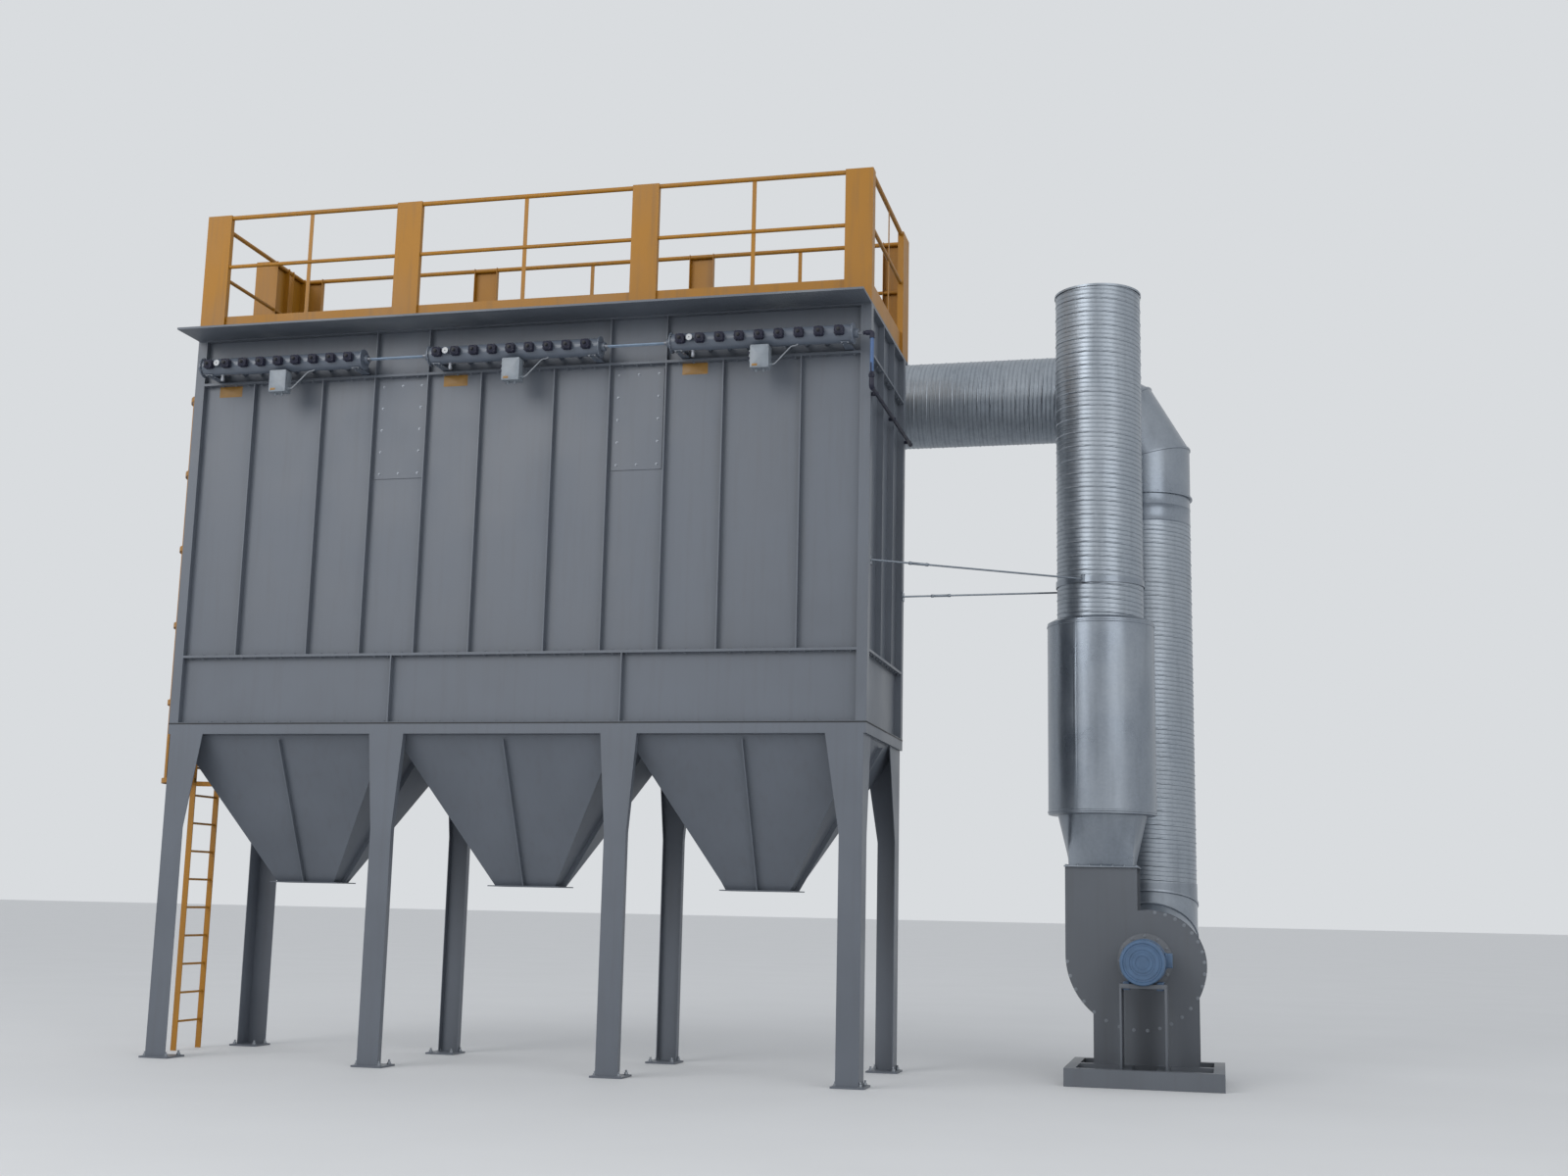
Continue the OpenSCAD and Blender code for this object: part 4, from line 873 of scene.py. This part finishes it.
class BAGFILTER_OT_casing_bolts(bpy.types.Operator):
    """Makes the bolts of the casing flanges, covers, guardrail plates and feet"""

    bl_idname = "bagfilter.casing_bolts"
    bl_label = "Casing fasteners"

    def execute(self, context):
        bolt = context.scene.bagfilter_fasteners
        head = hexagon_bolt(bolt.panel_bolt, bolt.panel_bolt * 0.65, 0.002)
        flange_t, inset = 0.012, 0.028
        base = corners("lower_casing")[0][2]
        seams = [(base, 1), (WALL_LOW[2], 1), (WALL_LOW[2], -1), (WALL_HIGH[2], 1), (WALL_HIGH[2], -1)]
        keep_off = np.concatenate([LONG_RIBS, BAY_W * np.arange(1, UNITS)])
        along = clear_spots(0.16, CASING_W - 0.16, bolt.panel_pitch, keep_off)
        across = clear_spots(0.16, CASING_D - 0.16, bolt.panel_pitch, [0.66, 1.22])
        parts = []
        for z, way in seams:
            level = z + way * flange_t
            rows = [(along, inset), (along, CASING_D - inset), (inset, across), (CASING_W - inset, across)]
            parts += [placed(head, points_at(x, y, level), way * Z) for x, y in rows]
        piece("casing_bolts", joined(*parts), "polyester_painted_steel")

        # A dark strip just proud of the casing's foot paints the shadow gap between the lower casing and the base
        # frame: painted shade
        proud, gap_strip_h = 0.003, 0.012
        plan = np.array([CASING_W, CASING_D])
        gap_strip = rounded_frame(plan + 2 * proud, plan - 0.04, gap_strip_h)
        piece("frame_seal", placed(gap_strip, (CASING_W / 2, CASING_D / 2, base - gap_strip_h / 2)), "butyl_seal")

        low, high = corners("access_covers")
        small = hexagon_bolt(0.013, 0.008, 0.002)
        w, parts = 0.500, []
        for cx in (low[0] + w / 2, high[0] - w / 2):
            flat = frame_spots((w - 0.100, high[2] - low[2] - 0.100), 0.21)
            spots = points_at(cx + flat[:, 0], low[1], (low[2] + high[2]) / 2 + flat[:, 1])
            parts.append(placed(small, spots, -Y))
        piece("cover_bolts", joined(*parts), "zinc_plated_bolt")

        walk = corners("roof_deck")[1][2] + 0.045
        plate_w, shift = 0.265, 0.078
        inner = [BAY_W * k - plate_w / 2 + np.sign(k - UNITS / 2) * shift for k in range(1, UNITS)]
        x = np.add.outer([0, *inner, CASING_W - plate_w], (0.065, 0.200)).ravel()
        back = corners("guardrail_rear")[1][1]
        screws = [placed(head, points_at(x, face, walk), way) for face, way in ((0, -Y), (back, Y))]
        piece("guardrail_bolts", joined(*screws), "gloss_painted_rail")

        rod = revolved([(0, 0.02), (0.010, 0.02), (0.010, 0.040), (0.009, 0.042), (0, 0.042)], 12)
        nut = joined(hexagon_bolt(bolt.anchor_nut, 0.018, 0.004), rod)
        plate, hole, plate_t = 0.150, 0.110, 0.016
        feet = []
        for row in ("front", "rear"):
            for k in range(1, UNITS + 2):
                low, high = corners(f"leg_{row}_{k}")
                x = {1: low[0] + plate, UNITS + 1: high[0] - plate}.get(k, (low[0] + high[0]) / 2)
                y = low[1] + plate if row == "front" else high[1] - plate
                feet.append(points_at(x + SIDE_U * hole, y + SIDE_V * hole, plate_t))
        piece("anchor_nuts", placed(nut, feet), "zinc_plated_bolt")
        return {"FINISHED"}


class BAGFILTER_OT_stickers(bpy.types.Operator):
    """Sets plain amber stickers without words on the casing and the pilot boxes"""

    bl_idname = "bagfilter.stickers"
    bl_label = "Plain stickers"

    def execute(self, context):
        film = rounded_block((0.250, 0.110, 0.0012), 0.006, 0.0004)
        spots = [(LONG_RIBS[4 * k] + 0.270, RIB_D, WALL_HIGH[2] - 0.069) for k in range(UNITS)]
        small = rounded_block((0.052, 0.022, 0.0010), 0.002, 0.0003)
        boxes = [corners(f"pilot_box_{i}")[0] + (0.045, 0.003, 0.028) for i in NUMBERS]
        parts = joined(placed(film, spots, -Y, X), placed(small, boxes, -Y, X))
        piece("plain_stickers", parts, "amber_vinyl")
        return {"FINISHED"}


class BAGFILTER_OT_fan_drive(bpy.types.Operator):
    """Makes the finned motor on its stool, the fan's rim bolts and its inspection door"""

    bl_idname = "bagfilter.fan_drive"
    bl_label = "Fan and motor"

    def execute(self, context):
        low, high = corners("fan_motor")
        casing_low, casing_high = corners("fan_casing")
        shaft_z, stool_t = high[2] - 0.210, 0.040
        x = (low[0] + high[0]) / 2
        # The motor's profiles are in millimetres along its shaft
        cowl_l, barrel_l, end = 120, 500, 1000 * (high[1] - low[1])
        cowl = turned(
            64, (60, 12), (62, 6), (90, 6), (92, 12), (115, 12), (117, 6), (150, 6), (152, 12), (170, 12),
            (176, 2), (196, 4), (204, 14), (204, cowl_l), (190, cowl_l), (188, cowl_l + 4),
        )
        fins = 44
        a = around(fins * 6)
        fin = np.clip(1.4 - np.abs((a * fins / TAU) % 1 - 0.5) * 5.2, 0, 1)
        steps = (0, cowl_l - 2), (1, cowl_l + 12), (1, barrel_l - 92), (0, barrel_l - 78)
        barrel = turned(len(a), *((176 + 30 * fin * depth, z) for depth, z in steps))
        bell = ((200, -84), (208, -78), (208, -50), (196, -36), (160, -18), (110, -4))
        bell = turned(64, *((r, barrel_l + z) for r, z in bell))
        guard = [(104, barrel_l - 10)]
        for z in np.linspace(barrel_l, end - 20, 6):
            guard += [(100, z), (105, z + 4), (105, z + 10), (100, z + 14)]
        drive = joined(cowl, barrel, bell, turned(48, *guard, (100, end)))
        seat = np.array([x, low[1], shaft_z])
        box = placed(rounded_block((0.150, 0.130, 0.075), 0.014, 0.005), seat + (0.185, 0.26, 0.02), X, Y)
        lid = placed(rounded_block((0.160, 0.140, 0.016), 0.016, 0.004), seat + (0.194, 0.26, 0.02), X, Y)
        foot = rounded_block((0.060, 0.090, 0.070), 0.006, 0.003)
        feet = placed(foot, [seat + (side, y, -0.245) for side in (-0.150, 0.150) for y in (0.14, 0.37)])
        parts = joined(placed(drive, seat, Y), box, lid, feet)
        top = placed(rounded_block((0.420, 0.380, stool_t), 0.004, 0.003), seat + (0, 0.250, -0.230))
        plate = rounded_block((0.020, 0.380, shaft_z - 0.226 - low[2]), 0.003, 0.002)
        stool = joined(top, placed(plate, [(x + side, low[1] + 0.250, low[2]) for side in (-0.200, 0.200)]))
        piece("finned_motor", parts, "cast_iron_enamel", ["fan_motor"])
        piece("motor_stool", stool, "painted_fan_steel")

        # The scroll's rim is three quarter circles, each turned about its own corner of a square
        offset, fan_r, step, rim = 0.045, 0.480, 0.090, 0.015
        quarter = np.arange(3)[:, None]
        angle = math.pi / 2 * (np.arange(8) / 8 + 1 / 16 - quarter)
        reach = fan_r + quarter * step + rim
        u = x + offset * np.array([[1], [-1], [-1]]) + reach * np.cos(angle)
        v = shaft_z + offset * np.array([[-1], [-1], [1]]) + reach * np.sin(angle)
        fan_y = (casing_low[1] + casing_high[1]) / 2
        head = hexagon_bolt(0.018, 0.011, 0.002)
        bolts = [placed(head, points_at(u, face, v), way)
                 for face, way in ((casing_low[1], -Y), (casing_high[1], Y))]
        door_z = shaft_z + 0.20
        door = rounded_block((0.300, 0.360, 0.014), 0.020, 0.003)
        door = placed(door, (casing_low[0] + 0.030, fan_y, door_z), -X, Y)
        flat = frame_spots((0.260, 0.320), 0.16)
        at = points_at(casing_low[0] + 0.017, fan_y + flat[:, 0], door_z + flat[:, 1])
        bolts.append(placed(hexagon_bolt(0.014, 0.008, 0.002), at, -X))
        front = (x, casing_low[1], shaft_z)
        hub = revolved([(0.10, 0), (0.252, 0), (0.255, 0.003), (0.255, 0.010), (0.252, 0.012), (0.10, 0.012)], 48)
        hub = placed(hub, front, -Y)
        bolts.append(ring_of_bolts((x, casing_low[1] - 0.012, shaft_z), -Y, 0.232, 12, 0.016))
        piece("fan_bolts", joined(*bolts), "zinc_plated_bolt")
        piece("fan_door_and_hub", joined(door, hub), "painted_fan_steel")
        return {"FINISHED"}


class BAGFILTER_OT_stay_fittings(bpy.types.Operator):
    """Adds turnbuckles to the stay rods and bolts to their lugs"""

    bl_idname = "bagfilter.stay_fittings"
    bl_label = "Stay fittings"

    def execute(self, context):
        high = corners("stack_stays")[1]
        centre, _, stack_r = upright("stack")
        centre[2] = high[2] - 0.030
        lug_r = stack_r - 0.006 + 0.0163
        starts = [(CASING_W - RIB_D, 0.420, centre[2]), (CASING_W, CASING_D - 0.050, centre[2] - 0.110)]
        parts = []
        buckle = turned(14, (13, -100), (16, -94), (16, -75), (13, -70), (13, 70), (16, 75), (16, 94), (13, 100))
        for start, angle in zip(np.array(starts), (-110, 130)):
            tip = centre + lug_r * np.array([math.cos(math.radians(angle)), math.sin(math.radians(angle)), 0])
            way = tip - start
            parts.append(placed(buckle, start + way * 0.22, way))
            lug = tip + way / np.linalg.norm(way) * 0.012 + 0.030 * Z
            parts.append(placed(hexagon_bolt(0.024, 0.014, 0.003), lug))
        plate = rounded_block((0.110, 0.090, 0.008), 0.008, 0.002)
        parts.append(placed(plate, starts, X))
        piece("stay_fittings", joined(*parts), "galvanised_plain_sheet")
        return {"FINISHED"}


def lamp(name, place, target, size, energy):
    """A square soft lamp that points at a target."""
    light = bpy.data.lights.new(name, "AREA")
    light.size, light.energy = size, energy
    made = bpy.data.objects.new(name, light)
    made.location = place
    made.rotation_mode = "QUATERNION"
    made.rotation_quaternion = (Vector(target) - Vector(place)).to_track_quat("-Z", "Y")
    bpy.context.scene.collection.objects.link(made)


class BAGFILTER_OT_stage(bpy.types.Operator):
    """Sets the floor, the light and the camera at the photograph's viewing angle"""

    bl_idname = "bagfilter.stage"
    bl_label = "Stage"

    def execute(self, context):
        scene, stage = context.scene, context.scene.bagfilter_stage
        size = 220.0
        mesh = bpy.data.meshes.new("floor")
        flat = np.array([[-1, -1, 0], [1, -1, 0], [1, 1, 0], [-1, 1, 0]]) * size
        mesh.from_pydata((flat + (0, 0, -0.001)).tolist(), [], [(0, 1, 2, 3)])
        tree, place = start_material("studio_floor")
        drift = add(tree, "TexNoise", {"Vector": place, "Scale": 0.6, "Detail": 3.0})
        tones = {0: drift, 6: rgba(stage.floor, 0.97), 7: rgba(stage.floor, 1.03)}
        tone = add(tree, "Mix", tones, 2, data_type="RGBA")
        shader = add(tree, "BsdfPrincipled", {"Base Color": tone, "Roughness": 0.8})
        add(tree, "OutputMaterial", [shader])
        mesh.materials.append(bpy.data.materials["studio_floor"])
        floor = bpy.data.objects.new("floor", mesh)
        scene.collection.objects.link(floor)

        world = bpy.data.worlds.new("studio")
        scene.world = world
        world.use_nodes = True
        tree = world.node_tree
        tree.nodes.clear()
        even = add(tree, "Background", {"Color": rgba(linear("#eef1f5")), "Strength": stage.sky})
        # The backdrop that the camera and the metal see is white in front of the object and pale grey behind it
        depth = add(tree, "SeparateXYZ", [add(tree, "TexCoord", output="Generated")], "Y")
        shade = weathered(tree, rgba(linear("#fbfcfd")), (depth, -0.6, 0.6, 0, 1, rgba(linear("#d9dcdf"))))
        plain = add(tree, "Background", {"Color": shade, "Strength": 1.0})
        rays = add(tree, "LightPath").node.outputs
        seen = rays["Is Camera Ray"]
        for ray in ("Is Glossy Ray", "Is Transmission Ray"):
            seen = add(tree, "Math", (seen, rays[ray]), operation="MAXIMUM")
        add(tree, "OutputWorld", [add(tree, "MixShader", (seen, even, plain))])
        target = (4.6, 1.0, 4.0)
        lamp("key_light", (-5.0, -16.0, 13.0), target, 12.0, 1350 * stage.key)
        lamp("fill_light", (18.0, -12.0, 9.0), target, 10.0, 380 * stage.key)

        yaw, pitch, roll = (math.radians(v) for v in (-13.6573, 9.9227, 1.2065))
        ahead = np.array([math.sin(yaw) * math.cos(pitch), math.cos(yaw) * math.cos(pitch), math.sin(pitch)])
        right = np.array([math.cos(yaw), -math.sin(yaw), 0])
        up = np.cross(right, ahead)
        side = math.cos(roll) * right + math.sin(roll) * up
        top = -math.sin(roll) * right + math.cos(roll) * up
        camera = bpy.data.objects.new("camera", bpy.data.cameras.new("camera"))
        sensor, focal_px, photo_px = 36.0, 1850.6, 1600
        camera.data.sensor_width, camera.data.lens = sensor, focal_px * sensor / photo_px
        camera.data.clip_end = 500
        turn = Matrix([[side[k], top[k], -ahead[k]] for k in range(3)])
        camera.matrix_world = Matrix.Translation((9.9874, -15.7830, 1.5429)) @ turn.to_4x4()
        scene.collection.objects.link(camera)
        scene.camera = camera
        scene.view_settings.view_transform = "Standard"
        return {"FINISHED"}


OPERATORS = (
    BAGFILTER_OT_finishes, BAGFILTER_OT_spiral_ducts, BAGFILTER_OT_bends, BAGFILTER_OT_silencer,
    BAGFILTER_OT_valves, BAGFILTER_OT_air_fittings, BAGFILTER_OT_casing_bolts, BAGFILTER_OT_stickers,
    BAGFILTER_OT_fan_drive, BAGFILTER_OT_stay_fittings, BAGFILTER_OT_stage,
)
SETTINGS = {
    "bagfilter_finishes": FinishSettings,
    "bagfilter_ducts": DuctSettings,
    "bagfilter_fasteners": FastenerSettings,
    "bagfilter_air": AirSettings,
    "bagfilter_stage": StageSettings,
}


class BAGFILTER_PT_pieces(bpy.types.Panel):
    """Lists the settings and the makers of the pieces"""

    bl_idname = "BAGFILTER_PT_pieces"
    bl_label = "Bag Filter"
    bl_space_type = "VIEW_3D"
    bl_region_type = "UI"
    bl_category = "Bag Filter"

    def draw(self, context):
        for name in SETTINGS:
            group = getattr(context.scene, name)
            box = self.layout.box()
            for setting in group.__annotations__:
                box.prop(group, setting)
        for operator in OPERATORS:
            self.layout.operator(operator.bl_idname)


CLASSES = (*SETTINGS.values(), *OPERATORS, BAGFILTER_PT_pieces)


def register():
    """Registers the classes and hangs the settings on the scene."""
    for cls in CLASSES:
        bpy.utils.register_class(cls)
    for name, group in SETTINGS.items():
        setattr(bpy.types.Scene, name, PointerProperty(type=group))


def unregister():
    """Takes the settings and classes away again."""
    for name in SETTINGS:
        delattr(bpy.types.Scene, name)
    for cls in reversed(CLASSES):
        bpy.utils.unregister_class(cls)


def main():
    register()
    for operator in OPERATORS:
        group, name = operator.bl_idname.split(".")
        getattr(getattr(bpy.ops, group), name)()


if __name__ == "__main__":
    main()
